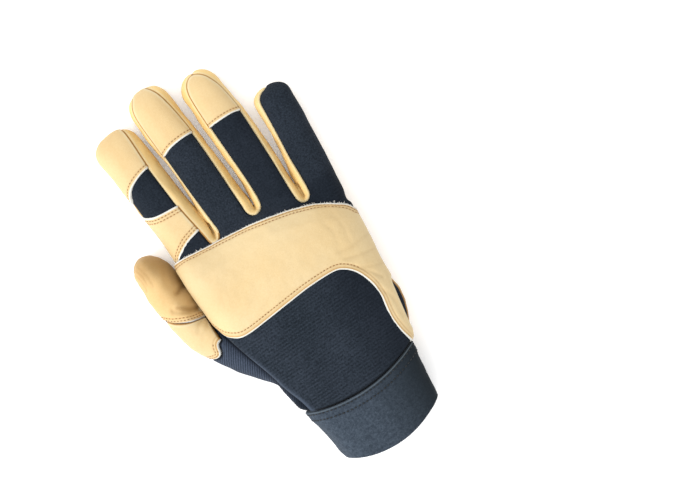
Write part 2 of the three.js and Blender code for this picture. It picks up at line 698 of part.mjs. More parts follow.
const glove = new THREE.Group();
glove.add(
  meshOf('palm_leather', palm, leather),
  meshOf('back_panel', backPanel, knit),
  ...forks.map((fork, i) => {
    const [near, next] = neighbours[i];
    return meshOf(`side_strip_${near.name}_${next.name}`, fork, leather);
  }),
  ...capped.map((finger) => meshOf(`tip_cap_${finger.name}`, capSolid(finger), leather)),
  meshOf('index_patch', indexPatch, leather),
  meshOf('knuckle_strap', strap, leather),
  meshOf('thumb_leather_upper', thumbUpper, leather),
  meshOf('thumb_leather_lower', thumbLower, leather),
  meshOf('thumb_knit_strip', thumbStrip, ribKnit),
  meshOf('palm_patch_upper', upperPatch, leather),
  meshOf('palm_patch_heel', heelPatch, leather),
  meshOf('wrist_cuff', cuff, neoprene),
  meshOf('closure_tab', closureTab, loopTab)
);

export default glove;
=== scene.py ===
import math

import bpy
import numpy as np
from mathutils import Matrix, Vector


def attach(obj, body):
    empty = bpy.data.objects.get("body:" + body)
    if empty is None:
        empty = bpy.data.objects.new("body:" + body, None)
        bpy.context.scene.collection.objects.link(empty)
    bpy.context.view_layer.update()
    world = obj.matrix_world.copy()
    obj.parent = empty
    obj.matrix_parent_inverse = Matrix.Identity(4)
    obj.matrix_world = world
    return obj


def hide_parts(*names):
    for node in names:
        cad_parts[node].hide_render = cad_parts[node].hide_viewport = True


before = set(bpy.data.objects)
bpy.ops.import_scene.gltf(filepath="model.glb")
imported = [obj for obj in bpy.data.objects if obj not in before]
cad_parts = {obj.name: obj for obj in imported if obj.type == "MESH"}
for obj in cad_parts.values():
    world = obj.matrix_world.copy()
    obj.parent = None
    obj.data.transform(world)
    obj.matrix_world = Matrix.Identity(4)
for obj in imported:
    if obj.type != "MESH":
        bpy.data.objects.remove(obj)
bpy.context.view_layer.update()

MM = 0.001
RNG = np.random.default_rng(7)

# Sizes, in millimetres.
GRID = 1.08  # spacing of the grid that the surface is found on
WRIST_Y = -68.5
CENTRE_X = 8.5
WRIST_HALF = 38.5
CUFF_BOW = 7.5
HEM_BOW = 12.0
CUFF_LENGTH = 37.5
PALM_FLOOR = 1.4
THUMB_SEAM_Z = 14.6
STRAP_END_X = -46.9  # where the strap ends and the thumb's panels begin
SHELL = 1.5  # wall of a sewn panel
SLIM = 0.45  # taken off each side of a finger, as the panels puff out by about as much
RAW_GAP = 0.05  # from a cut edge's line to the edge itself
WRIST_GAP = 0.3  # from the hand's panels to the cuff
RINGS = (0.35, 0.75, 1.3, 2.1)  # lines that follow an edge, for its roll
TOP_SIDE = 9.0  # stitches of the back lie higher than this
STITCH_DENT, STITCH_WIDTH = 0.32, 0.62  # groove that a row of stitches pulls in
HEM_THIN, HEM_WIDTH = 0.45, 0.9  # how a cut edge thins out
FLOOR_GAP = 0.02  # under a piece that lies over others

# A limb's section: powers of its sides, crown and sole, how they blend, and how flat the sole is.
SIDE_POWER, CROWN_POWER, SOLE_POWER, BLEND_POWER = 2.4, 2.1, 2.8, 2.3
SOLE_DROP = 1.8
END_POWER = 2.4
HAND_SQUARE, HAND_LEAN = 4.4, 0.2  # squareness of the thumb side, and lean of the crown
FORK_SQUARE, FORK_SLIM = 2.8, 1.25  # squareness of sides that touch, and what the fork takes off them
THUMB_SLOPE = 12  # fall of the thumb's top towards the hand
FORK_JOIN, SOLE_JOIN = 2.6, 1.0  # softness where the limbs meet, and round the sole

LIGHT = 1.7  # how strongly the studio lights a surface that faces up

# Fingers: root, lean in degrees, length, height share, then half widths to each side by distance
# from the root.
FINGERS = {
    "index": dict(
        root=(-30.5, 50.0), lean=-3.4, length=93.8, thick=1.0, tip=12.5, touch=(None, 28),
        s=[-14, 0, 10, 21, 41, 56, 70, 84, 94],
        left=[10.5, 13.6, 13.6, 13.1, 13.2, 13.2, 13.2, 14.6, 15.0],
        right=[11.0, 14.3, 15.2, 15.0, 14.9, 14.8, 14.6, 14.3, 14.0],
    ),
    "middle": dict(
        root=(-1.0, 50.0), lean=-2.2, length=105.3, thick=1.0, tip=13.0, touch=(28, 19),
        s=[-14, 0, 12, 25, 35, 60, 76, 92, 105],
        left=[10.0, 13.0, 13.2, 13.5, 13.2, 12.8, 14.0, 14.1, 14.0],
        right=[10.0, 13.6, 14.2, 14.1, 14.4, 14.5, 13.5, 12.9, 12.4],
    ),
    "ring": dict(
        root=(29.3, 46.0), lean=-1.3, length=100.6, thick=0.97, tip=13.5, touch=(19, 11),
        s=[-14, 0, 12, 29, 52, 70, 84, 92, 101],
        left=[10.0, 13.6, 14.8, 13.2, 13.5, 13.7, 12.9, 13.0, 13.0],
        right=[9.0, 10.6, 11.6, 13.4, 13.9, 13.0, 12.0, 11.7, 11.4],
    ),
    "little": dict(
        root=(53.5, 38.0), lean=5.2, length=77.4, thick=0.9, tip=9.5, touch=(11, None),
        s=[-14, 0, 10, 20, 39, 53, 64, 72, 78],
        left=[8.0, 12.6, 13.6, 13.6, 12.2, 11.8, 12.3, 12.4, 12.4],
        right=[8.0, 10.4, 10.6, 11.2, 11.8, 11.6, 11.6, 11.6, 11.4],
    ),
}
FINGER_S = [-14, 0, 12, 30, 58, 84, 106]
FINGER_TOP = [25.0, 27.5, 25.5, 22.5, 20.5, 19.0, 18.5]

# Hand outline across, and its top, by height up the hand.
PALM_Y = [-80, -68.5, -61, -50, -38, -30, -15, 0, 14, 30, 60]
PALM_LEFT = [-28.6, -29.4, -30.2, -31.9, -33, -35.4, -40.4, -44, -45.4, -45.4, -45.4]
ULNAR_Y = [-80, -68.5, -61, -55, -50, -45, -38, -30, -20, -8, 5, 18, 28, 37, 48]
PALM_RIGHT = [46.2, 46.4, 47.4, 49.8, 52.8, 55.2, 57.6, 58.8, 57.4, 58.2, 60.2, 61.6, 63.2, 63.2, 63.2]
TOP_Y = [-80, -68.5, -50, -30, -10, 28, 38, 46, 52, 60]
PALM_TOP = [33.6, 34, 35, 37, 38, 38, 36.6, 32.6, 28.6, 25.5]
END_X = [-46, -17, 13, 41, 62]
END_Y = [61, 58, 58.5, 48.5, 37]

# Thumb by height up the hand: outer and inner edge, underside, top.
THUMB_Y = [-50, -43, -38.5, -31, -18, -10, -3, 8, 20, 32, 45, 60, 72]
THUMB_OUT = [-31.5, -32, -32.8, -39.4, -49.9, -55.2, -59.6, -65.4, -67.6, -69.2, -70.4, -69.6, -68]
THUMB_IN = [-14, -11, -9, -10, -15, -21, -26, -34, -42.5, -46.4, -47.0, -49.2, -54.6]
THUMB_LIFT = [6, 4, 2.5, 1.2, 0, 0, 0, 0, 0, 0, 0, 0, 0]
THUMB_TOP = [19, 22, 24, 26, 28, 28, 28, 27.5, 27, 26.3, 25.5, 24, 23.5]

# Plan outlines of the hems, seams and patches. The strips between the fingers are given for each
# finger, along it and across it.
FOLD = [(-25.6, -72), (-26, -66), (-28, -55), (-31, -45), (-34.2, -32), (-38, -19), (-42, -4.5), (-46.6, 14)]
U_NOTCHES = [
    [(-20.6, 59), (-20.3, 56), (-19, 53.6), (-16.8, 52.8), (-14.4, 53.8), (-12.9, 56.6), (-12.4, 60)],
    [(8.1, 60), (8.5, 57.2), (10.2, 54.8), (12.8, 54), (15.6, 55), (17.3, 57.8), (17.8, 61)],
    [(37.5, 50), (37.8, 47), (39.2, 44.6), (41.5, 43.8), (44, 44.8), (45.6, 47.2), (46, 50.5)],
]
STRIPS = {
    "index": [(20, -20), (97, -20), (98, -4), (96.5, 4), (92, 8.2), (84.6, 9.4), (64.6, 8.3), (44.6, 8.2),
              (31.6, 8.4), (17.5, 9.6), (11, 10.2)],
    "middle": [(13, -11.2), (35, -11.6), (65, -11.4), (85, -11.4), (95, -10.6), (101, -8), (106, -3.5),
               (107, 0.5), (104, 4), (97, 7.8), (85, 9.9), (64.6, 11.2), (40, 10.8), (24.6, 10.2), (12, 9.7)],
    "ring": [(16, -10.9), (29, -10.4), (49, -10.2), (66, -10), (84, -9.3), (92, -8.2), (96.8, -5.6),
             (99, -2), (98.3, 1.6), (95.4, 4.9), (91.4, 7.2), (83.8, 9.6), (68.8, 11.2), (53.8, 11.1),
             (28.8, 9.9), (9, 8.5)],
    "little": [(12, -8.4), (22, -8.8), (33, -9.4), (46, -9.2), (61, -9.1), (69, -9), (73, -7.6),
               (75.4, -5), (77.2, -1.5), (84, 2), (84, 20), (20, 24)],
}
STRAP_FRONT = [(-47.4, 56.6), (-38, 55.6), (-30, 54.4), (-17, 52.6), (0, 50.8), (10, 49), (20, 46.6),
               (30, 43.9), (40, 40.4), (48, 37), (55, 32.8), (60, 28), (63, 21.5), (66, 14)]
STRAP_TAIL = [(66, -17), (60, -19.4), (57, -24), (55.6, -30.6), (53.3, -42.4), (50.6, -54.5), (47, -61.5)]
STRAP_REAR = [(46, -59.5), (44.6, -52), (44.1, -44.8), (44.5, -38.4), (45.4, -33), (46.4, -27.5), (46, -20),
              (44.4, -13.5), (41.6, -7.6), (37.2, -3), (31, -0.5), (15, 0), (0, -1), (-15, -2.2), (-27, -3),
              (-34, -2.5), (-39, 0.2), (-42.6, 4.6), (-45.2, 11), (-47.2, 17.5)]
CAP_HEMS = {
    "index": [(-22, 113.6), (-26, 113), (-33, 111.5), (-40, 108.4), (-44, 104.4), (-46, 100.2), (-52, 96.8)],
    "middle": [(14, 115.2), (7.5, 115.9), (0, 116), (-8, 115.2), (-14.5, 113), (-22, 110.5)],
    "ring": [(46, 109.8), (39, 111), (33, 112.1), (25, 112.4), (18, 112.1), (10, 111.6)],
}
INDEX_FRONT = [(-54, 97.5), (-48, 95.6), (-45.9, 92), (-44, 89.4), (-40.5, 87.1), (-36, 85.8), (-29, 85),
               (-20, 84.2)]
INDEX_REAR = [(-18, 65.4), (-23, 64.3), (-30, 62.4), (-35, 60), (-39, 57.6), (-42, 55), (-50, 50)]
THUMB_HEM = [(-76, 6), (-66, 0.4), (-60.2, -3), (-56.4, -5), (-53.4, -5), (-51.4, -3), (-50.2, 0.6),
             (-48.4, 2.6), (-44, 3.6)]
THUMB_SEAM = [(-76, 38), (-70, 32.5), (-65, 27), (-58, 23), (-52, 21.2), (-44, 19.6)]
STRIP_UNDER = [(4, -76), (1, -68.3), (-6, -57.4), (-19, -44.7), (-34, -30), (-49, -10), (-55.5, 5),
               (-58.6, 20), (-59.4, 40), (-59.6, 80)]
UPPER_PATCH = [(-45.6, 45.3), (-29, 45.6), (-17, 45), (-4, 42.2), (6, 40.8), (21, 40.6), (33, 38.4),
               (43, 33.6), (49.5, 28), (53.5, 20.5), (57, 10), (59, 0), (60, -5.8), (50, -5.9), (44, -5.7),
               (33, -5.6), (24, -5.2), (16, -2), (6, 4.4), (-4, 11.7), (-14, 18), (-21, 21.7), (-34, 24.2),
               (-45.6, 25.3)]
HEEL_PATCH = [(-13, 15.3), (-4, 9.9), (6, 2.4), (16, -4.9), (26, -9.9), (36, -11.6), (44, -9.3), (52, -9),
              (60, -9.4), (60, -20), (59, -34), (53, -50), (45, -58), (31, -60.6), (21, -61), (17.4, -57),
              (15, -48), (12, -37), (8.5, -28.4), (2, -22.6), (-8.6, -13), (-13.4, -4), (-15.2, 6)]


def smooth_curve(points, pieces=8, closed=False):
    """Catmull-Rom points through a plan line."""
    p = np.array(points, float)
    n = len(p)
    out = []
    last = n if closed else n - 1
    for i in range(last):
        if closed:
            a, b, c, d = p[(i - 1) % n], p[i], p[(i + 1) % n], p[(i + 2) % n]
        else:
            a, b, c, d = p[max(i - 1, 0)], p[i], p[i + 1], p[min(i + 2, n - 1)]
        for t in np.linspace(0, 1, pieces, endpoint=False):
            bend = (2 * a - 5 * b + 4 * c - d) * t * t + (3 * b - a - 3 * c + d) * t ** 3
            out.append(0.5 * (2 * b + (c - a) * t + bend))
    if not closed:
        out.append(p[-1])
    return np.array(out)


def stretches(x, y, line):
    """Both ends of each stretch of a plan line, with the squared distance to it."""
    for (ax, ay), (bx, by) in zip(line[:-1], line[1:]):
        dx, dy = bx - ax, by - ay
        ll = dx * dx + dy * dy
        if ll < 1e-9:
            continue
        t = np.clip(((x - ax) * dx + (y - ay) * dy) / ll, 0, 1)
        qx, qy = x - ax - t * dx, y - ay - t * dy
        yield ax, ay, bx, by, qx * qx + qy * qy


def line_distance(x, y, line):
    """Distance to a plan line, positive to the left of its direction."""
    best = np.full(x.shape, 1e9)
    side = np.ones(x.shape)
    for ax, ay, bx, by, d2 in stretches(x, y, line):
        near = d2 < best - 1e-9
        best = np.where(near, d2, best)
        side = np.where(near, np.sign((bx - ax) * (y - ay) - (by - ay) * (x - ax)), side)
    return np.sqrt(best) * side


def area_distance(x, y, ring):
    """Distance to a closed plan outline, positive inside."""
    best = np.full(x.shape, 1e9)
    inside = np.zeros(x.shape, bool)
    ring = np.asarray(ring)
    for ax, ay, bx, by, d2 in stretches(x, y, np.concatenate([ring, ring[:1]])):
        best = np.minimum(best, d2)
        if ay != by:
            inside ^= ((ay > y) != (by > y)) & (x < (bx - ax) * (y - ay) / (by - ay) + ax)
    return np.where(inside, 1, -1) * np.sqrt(best)


def smoothstep(a, b, v):
    """0 before a, 1 past b, and an even turn between them."""
    t = np.clip((v - a) / (b - a), 0, 1)
    return t * t * (3 - 2 * t)


def finger_st(f, x, y):
    """Distance along a finger from its root, and across it."""
    a = math.radians(f["lean"])
    dx, dy = x - f["root"][0], y - f["root"][1]
    return dx * math.sin(a) + dy * math.cos(a), dx * math.cos(a) - dy * math.sin(a)


def finger_xy(f, s, t):
    a = math.radians(f["lean"])
    return f["root"][0] + s * math.sin(a) + t * math.cos(a), f["root"][1] + s * math.cos(a) - t * math.sin(a)


# The body of the glove as one implicit surface.
def section(u, z, low, top, extra, side=SIDE_POWER):
    """Under 0 inside a limb: u runs from -1 to 1 across it, and extra closes its ends."""
    mid = 0.5 * (low + top)
    up = np.clip((z - mid) / (top - mid), 0, None) ** CROWN_POWER
    down = np.clip((mid - z) / (mid - low + SOLE_DROP), 0, None) ** SOLE_POWER
    return (np.abs(u) ** side + up + down + extra) ** (1 / BLEND_POWER) - 1


def as_distance(g):
    """A limb's values turned into rough distances from its surface."""
    gx, gy, gz = np.gradient(g, GRID)
    m = np.sqrt(gx * gx + gy * gy + gz * gz)
    return np.clip(g / np.maximum(m, 0.012), -FAR, FAR)


def smooth_min(a, b, k):
    """The smaller of two distances, rounded over k where they are alike."""
    h = np.clip(k - np.abs(a - b), 0, None) / k
    return np.minimum(a, b) - h * h * k * 0.25


ORIGIN = np.array([-77.0, -80.0, -2.4])
SPAN = np.array([153.0, 240.0, 44.0])
COUNT = (SPAN / GRID).astype(int)
FAR = 7.0  # a distance that counts as well outside
AX = [ORIGIN[i] + GRID * np.arange(COUNT[i]) for i in range(3)]


def boxed(field, low, high, shape_fn):
    """Work out a limb in its own box and put it into the whole field."""
    first = [max(np.searchsorted(AX[i], low[i]) - 1, 0) for i in range(3)]
    last = [np.searchsorted(AX[i], high[i]) + 1 for i in range(3)]
    part = tuple(slice(a, b) for a, b in zip(first, last))
    x, y, z = np.meshgrid(*(AX[i][part[i]] for i in range(3)), indexing="ij")
    field[part] = np.minimum(field[part], as_distance(shape_fn(x, y, z)))


def hand_shape(x, y, z):
    """The palm, from the wrist to the forks, square on its thumb side."""
    left = np.interp(y, PALM_Y, PALM_LEFT)
    right = np.interp(y, ULNAR_Y, PALM_RIGHT)
    u = (x - 0.5 * (left + right)) / (0.5 * (right - left))
    u = u + HAND_LEAN * np.clip(1 - u * u, 0, 1) * smoothstep(8, 20, z)
    side = SIDE_POWER + np.where(u < 0, HAND_SQUARE * smoothstep(6, 20, z), 0)
    along = y - (np.interp(x, END_X, END_Y) - 58)
    top = np.interp(along, TOP_Y, PALM_TOP)
    low = PALM_FLOOR + 2.2 * smoothstep(-45, -70, y)
    end = np.clip((along - 48.5) / 9.5, 0, None) ** END_POWER
    return section(u, z, low, top, end, side)


def finger_shape(f):
    """A finger whose touching sides are slimmer and squarer near the fork."""
    meets = [touch is not None for touch in f["touch"]]

    def shape(x, y, z):
        s, t = finger_st(f, x, y)
        sides = []
        for key, touch in zip(("left", "right"), f["touch"]):
            side = np.interp(s, f["s"], f[key]) - SLIM
            if touch is not None:
                side = side + FORK_SLIM * (1 - smoothstep(touch - 9, touch + 9, s))
            sides.append(side)
        half = np.where(t < 0, sides[0], sides[1])
        square = SIDE_POWER + FORK_SQUARE * smoothstep(52, 18, s) * np.where(t < 0, meets[0], meets[1])
        top = np.interp(s, FINGER_S, FINGER_TOP) * f["thick"]
        low = PALM_FLOOR * smoothstep(16, 2, s)
        end = np.clip((s - f["length"] + f["tip"]) / f["tip"], 0, None) ** 2.5
        root = np.clip((-3 - s) / 11, 0, None) ** END_POWER
        tuck = smoothstep(f["length"] - f["tip"], f["length"], s)
        return section(t / half, z, low + tuck, top - 2.5 * tuck, end + root, square)

    return shape


def thumb_shape(x, y, z):
    """The thumb, whose top falls towards the hand."""
    out = np.interp(y, THUMB_Y, THUMB_OUT)
    inn = np.interp(y, THUMB_Y, THUMB_IN)
    u = (x - 0.5 * (out + inn)) / (0.5 * (inn - out))
    low = np.interp(y, THUMB_Y, THUMB_LIFT)
    top = np.interp(y, THUMB_Y, THUMB_TOP)
    top = top - THUMB_SLOPE * smoothstep(-0.1, 1.15, u) * smoothstep(-2, 24, y)
    end = np.clip((y - 59) / 11.6, 0, None) ** 2.6
    root = np.clip((-40 - y) / 10, 0, None) ** END_POWER
    return section(u, z, low, top, end + root)


def body_field():
    """Distances to the whole hand, with soft forks and a flat sole."""
    hand = np.full(COUNT, FAR)
    boxed(hand, (-60, -80, -3), (76, 66, 42), hand_shape)
    digits = np.full(COUNT, FAR)
    for f in FINGERS.values():
        x0, y0 = finger_xy(f, -16, 0)
        x1, y1 = finger_xy(f, f["length"] + 4, 0)
        boxed(digits, (min(x0, x1) - 19, y0 - 1, -3), (max(x0, x1) + 19, y1 + 1, 34), finger_shape(f))
    thumb = np.full(COUNT, FAR)
    boxed(thumb, (-77, -53, -3), (-2, 75, 34), thumb_shape)
    x, y = np.meshgrid(AX[0], AX[1], indexing="ij")
    join = (1.6 + 3.6 * smoothstep(22, 4, y))[:, :, None]
    whole = smooth_min(smooth_min(hand, thumb, join), digits, FORK_JOIN)
    floor = PALM_FLOOR * smoothstep(66, 50, y) * smoothstep(-62, -44, x)
    under = floor[:, :, None] - AX[2][None, None, :]
    return -smooth_min(-whole, -under, SOLE_JOIN)


def sample(field, points):
    """The grid's values at any points."""
    q = (points - ORIGIN) / GRID
    i = np.clip(q.astype(int), 0, np.array(field.shape) - 2)
    t = q - i
    total = 0
    for dx in (0, 1):
        for dy in (0, 1):
            for dz in (0, 1):
                w = np.abs(1 - dx - t[:, 0]) * np.abs(1 - dy - t[:, 1]) * np.abs(1 - dz - t[:, 2])
                total = total + w * field[i[:, 0] + dx, i[:, 1] + dy, i[:, 2] + dz]
    return total


def surface_net(field):
    """The mesh where the grid's values pass through 0: one vertex in each cell that it crosses."""
    inside = field < 0
    cells = np.array(field.shape) - 1
    total = int(np.prod(cells))
    hits = np.zeros(total)
    sums = [np.zeros(total) for _ in range(3)]
    quads = []
    for a in range(3):
        b, c = (a + 1) % 3, (a + 2) % 3
        lo = [slice(None)] * 3
        hi = [slice(None)] * 3
        lo[a], hi[a] = slice(0, -1), slice(1, None)
        cross = inside[tuple(lo)] != inside[tuple(hi)]
        idx = np.argwhere(cross)
        da, db = field[tuple(lo)][cross], field[tuple(hi)][cross]
        at_inside = inside[tuple(lo)][cross]
        pos = idx.astype(float)
        pos[:, a] += da / (da - db)
        corner = []
        good = np.ones(len(idx), bool)
        for ob, oc in ((-1, -1), (0, -1), (0, 0), (-1, 0)):
            cell = idx.copy()
            cell[:, b] += ob
            cell[:, c] += oc
            ok = ((cell >= 0) & (cell < cells)).all(1)
            good &= ok
            i, j, k = np.clip(cell, 0, cells - 1).T
            lin = (i * cells[1] + j) * cells[2] + k
            corner.append(lin)
            hits += np.bincount(lin[ok], minlength=total)
            for axis in range(3):
                sums[axis] += np.bincount(lin[ok], weights=pos[ok, axis], minlength=total)
        quad = np.stack(corner, 1)
        quad[~at_inside] = quad[~at_inside][:, ::-1]
        quads.append(quad[good])
    quads = np.concatenate(quads)
    used, inverse = np.unique(quads, return_inverse=True)
    quads = inverse.reshape(quads.shape)
    verts = np.stack([s[used] / hits[used] for s in sums], 1) * GRID + ORIGIN
    first = np.linalg.norm(verts[quads[:, 0]] - verts[quads[:, 2]], axis=1)
    second = np.linalg.norm(verts[quads[:, 1]] - verts[quads[:, 3]], axis=1)
    short = first <= second
    tris = np.concatenate([
        quads[short][:, [0, 1, 2]], quads[short][:, [0, 2, 3]],
        quads[~short][:, [0, 1, 3]], quads[~short][:, [1, 2, 3]],
    ])
    return verts, tris


def edges_of(tris):
    e = np.concatenate([tris[:, [0, 1]], tris[:, [1, 2]], tris[:, [2, 0]]])
    return np.unique(np.sort(e, 1), axis=0)


def normals_of(verts, tris):
    n = np.cross(verts[tris[:, 1]] - verts[tris[:, 0]], verts[tris[:, 2]] - verts[tris[:, 0]])
    out = np.zeros_like(verts)
    for k in range(3):
        for c in range(3):
            out[:, c] += np.bincount(tris[:, k], weights=n[:, c], minlength=len(verts))
    return out / np.maximum(np.linalg.norm(out, axis=1, keepdims=True), 1e-12)


def relax(values, edges, rounds, share=0.5):
    """Even out per-vertex values over their neighbours."""
    n = len(values)
    deg = np.bincount(edges.ravel(), minlength=n).astype(float)
    deg[deg == 0] = 1
    v = values.reshape(n, -1).copy()
    for _ in range(rounds):
        new = np.empty_like(v)
        for c in range(v.shape[1]):
            s = np.bincount(edges[:, 0], weights=v[edges[:, 1], c], minlength=n)
            s += np.bincount(edges[:, 1], weights=v[edges[:, 0], c], minlength=n)
            new[:, c] = s / deg
        v += share * (new - v)
    return v.reshape(values.shape)


def slope_of(verts, tris, f):
    """Size of a field's gradient along the surface, per vertex."""
    p0, p1, p2 = (verts[tris[:, k]] for k in range(3))
    n = np.cross(p1 - p0, p2 - p0)
    area2 = np.maximum(np.linalg.norm(n, axis=1), 1e-12)
    n /= area2[:, None]
    g = f[tris[:, 0], None] * np.cross(n, p2 - p1)
    g += f[tris[:, 1], None] * np.cross(n, p0 - p2)
    g += f[tris[:, 2], None] * np.cross(n, p1 - p0)
    size = np.linalg.norm(g, axis=1) / area2
    top = np.zeros(len(verts))
    low = np.zeros(len(verts))
    for k in range(3):
        top += np.bincount(tris[:, k], weights=size * area2, minlength=len(verts))
        low += np.bincount(tris[:, k], weights=area2, minlength=len(verts))
    return top / np.maximum(low, 1e-12)


class Skin:
    """A triangle mesh with named values at its vertices."""

    def __init__(self, verts, tris, values):
        self.v, self.t, self.a = verts, tris, values

    def copy(self):
        return Skin(self.v, self.t, dict(self.a))

    def split(self, name, level):
        """Cut the triangles along a level of a value, so that edges lie on it."""
        s = self.a[name] - level
        s = np.where(np.abs(s) < 0.05, 0.0, s)
        sign = np.sign(s).astype(np.int8)
        f = sign[self.t]
        need = (f.min(1) < 0) & (f.max(1) > 0)
        keep, tri = self.t[~need], self.t[need]
        n = len(self.v)
        e = np.stack([tri[:, [0, 1]], tri[:, [1, 2]], tri[:, [2, 0]]], 1)
        cross = sign[e[..., 0]] * sign[e[..., 1]] < 0
        es = np.sort(e[cross], 1).astype(np.int64)
        key, inv = np.unique(es[:, 0] * n + es[:, 1], return_inverse=True)
        i0, i1 = key // n, key % n
        t = s[i0] / (s[i0] - s[i1])
        mid = np.full(cross.shape, -1)
        mid[cross] = n + inv
        self.v = np.concatenate([self.v, self.v[i0] + t[:, None] * (self.v[i1] - self.v[i0])])
        for k, val in self.a.items():
            w = t if val.ndim == 1 else t[:, None]
            self.a[k] = np.concatenate([val, val[i0] + w * (val[i1] - val[i0])])
        snapped = np.concatenate([s == 0, np.ones(len(key), bool)])
        self.a[name] = np.where(snapped, level, self.a[name])
        parts = [keep]
        two = cross.sum(1) == 2
        if two.any():
            tt, mm, cc = tri[two], mid[two], cross[two]
            r = np.arange(len(tt))
            k = (np.argmin(cc, 1) + 2) % 3
            a, b, c = tt[r, k], tt[r, (k + 1) % 3], tt[r, (k + 2) % 3]
            ab, ca = mm[r, k], mm[r, (k + 2) % 3]
            parts += [np.stack(q, 1) for q in ((a, ab, ca), (ab, b, c), (ab, c, ca))]
        one = cross.sum(1) == 1
        if one.any():
            tt, mm, cc = tri[one], mid[one], cross[one]
            r = np.arange(len(tt))
            k = np.argmax(cc, 1)
            a, b, c, m = tt[r, k], tt[r, (k + 1) % 3], tt[r, (k + 2) % 3], mm[r, k]
            parts += [np.stack(q, 1) for q in ((a, m, c), (m, b, c))]
        self.t = np.concatenate(parts)
        return self

    def keep(self, mask):
        self.t = self.t[mask]
        used, inv = np.unique(self.t, return_inverse=True)
        self.t = inv.reshape(-1, 3)
        self.v = self.v[used]
        self.a = {k: val[used] for k, val in self.a.items()}
        return self

    def above(self, name, level):
        """Keep the part where a value is over a level, with a clean edge along it."""
        self.split(name, level)
        return self.keep(self.a[name][self.t].mean(1) > level)

    def rim(self):
        """Edges with a triangle on one side only."""
        e = np.concatenate([self.t[:, [0, 1]], self.t[:, [1, 2]], self.t[:, [2, 0]]])
        key = np.sort(e, 1)
        key = key[:, 0].astype(np.int64) * len(self.v) + key[:, 1]
        _, first, count = np.unique(key, return_index=True, return_counts=True)
        return e[first[count == 1]]

    def lines(self, name, level):
        """Chains of vertices that lie exactly on a level of a value."""
        on = self.a[name] == level
        e = edges_of(self.t)
        e = e[on[e[:, 0]] & on[e[:, 1]]]
        near = {}
        for a, b in e.tolist():
            near.setdefault(a, []).append(b)
            near.setdefault(b, []).append(a)
        seen = set()
        chains = []
        starts = [k for k, v in near.items() if len(v) == 1] + list(near)
        for start in starts:
            if start in seen:
                continue
            chain = [start]
            seen.add(start)
            while True:
                nxt = [q for q in near[chain[-1]] if q not in seen]
                if not nxt:
                    break
                chain.append(nxt[0])
                seen.add(nxt[0])
            if len(chain) > 2:
                if len(chain) > 8 and chain[0] in near[chain[-1]]:
                    chain.append(chain[0])
                chains.append(np.array(chain))
        return chains


# Putting meshes into the scene.
def new_object(name, verts_mm, faces, material, values=None, smooth=True):
    mesh = bpy.data.meshes.new(name)
    faces = np.asarray(faces)
    k = faces.shape[1]
    mesh.vertices.add(len(verts_mm))
    mesh.vertices.foreach_set("co", (np.asarray(verts_mm) * MM).astype(np.float32).ravel())
    mesh.loops.add(faces.size)
    mesh.loops.foreach_set("vertex_index", faces.ravel().astype(np.int32))
    mesh.polygons.add(len(faces))
    mesh.polygons.foreach_set("loop_start", (np.arange(len(faces)) * k).astype(np.int32))
    mesh.polygons.foreach_set("use_smooth", np.full(len(faces), smooth))
    for key, val in (values or {}).items():
        att = mesh.attributes.new(key, "FLOAT", "POINT")
        att.data.foreach_set("value", val.astype(np.float32))
    mesh.materials.append(material)
    mesh.update(calc_edges=True)
    mesh.validate(clean_customdata=False)
    obj = bpy.data.objects.new(name, mesh)
    bpy.context.scene.collection.objects.link(obj)
    return obj


def close_panel(name, node, material, skin, out, inn, values):
    """Join a panel's outer and inner face along its rim into one thin solid that stands for a node.

    values holds, for each name, what the outer and what the inner face has.
    """
    count = len(out)
    rim = skin.rim()
    walls = np.concatenate([
        np.stack([rim[:, 1], rim[:, 0], rim[:, 0] + count], 1),
        np.stack([rim[:, 1], rim[:, 0] + count, rim[:, 1] + count], 1),
    ])
    tris = np.concatenate([skin.t, skin.t[:, ::-1] + count, walls])
    both = {key: np.concatenate([np.broadcast_to(v, count) for v in pair]) for key, pair in values.items()}
    obj = new_object(name, np.concatenate([out, inn]), tris, material, both)
    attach(obj, "root")
    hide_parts(node)
    skin.out, skin.outn = out, normals_of(out, skin.t)
    return skin


def waves(p, scale, seed, count=10):
    """A smooth, uneven field made of a few crossing waves, about -1 to 1."""
    rng = np.random.default_rng(seed)
    out = np.zeros(len(p))
    for _ in range(count):
        d = rng.normal(size=3)
        d /= np.linalg.norm(d)
        k = 2 * math.pi / (scale * rng.uniform(0.6, 1.7))
        out += np.sin(p @ d * k + rng.uniform(0, 6.28))
    return out / math.sqrt(count)


def crease(x, y, line, width, depth):
    """A soft fold along a plan line, fading at both ends."""
    pts = smooth_curve(line, 6)
    d = np.abs(line_distance(x, y, pts))
    return -depth * np.exp(-((d / width) ** 2))


def creases(x, y, table, width_share=1.0, depth_share=1.0):
    """Several folds added up: a row of the table is a plan line, its width and its depth."""
    return sum(crease(x, y, line, width_share * w, depth_share * d) for line, w, d in table)


def unit(v):
    return v / max(np.linalg.norm(v), 1e-9)


def run_of(points):
    """Distance from the first point of a chain to each of its points."""
    return np.concatenate([[0], np.cumsum(np.linalg.norm(np.diff(points, axis=0), axis=1))])


def at_run(at, run, points):
    """The place, or the normal, at a distance along a chain."""
    return np.array([np.interp(at, run, points[:, c]) for c in range(3)])


def thread_rows(skin, value, levels, pitch=2.15, length=1.45, radius=0.25, where=None, lift=0.02):
    """Stitches laid along levels of a value, each a small bent rod sunk at both ends."""
    rods = []
    for level in levels:
        for chain in skin.lines(value, level):
            p, n = skin.out[chain], skin.outn[chain]
            run = run_of(p)
            if run[-1] < 2 * pitch:
                continue
            count = int(run[-1] / pitch)
            for i in range(count):
                mid = (i + 0.5) * run[-1] / count
                a, m, b = (at_run(mid + o, run, p) for o in (-length / 2, 0, length / 2))
                if where is None or where(m):
                    rods.append((a, m, b, unit(at_run(mid, run, n)), radius, lift))
    return rods


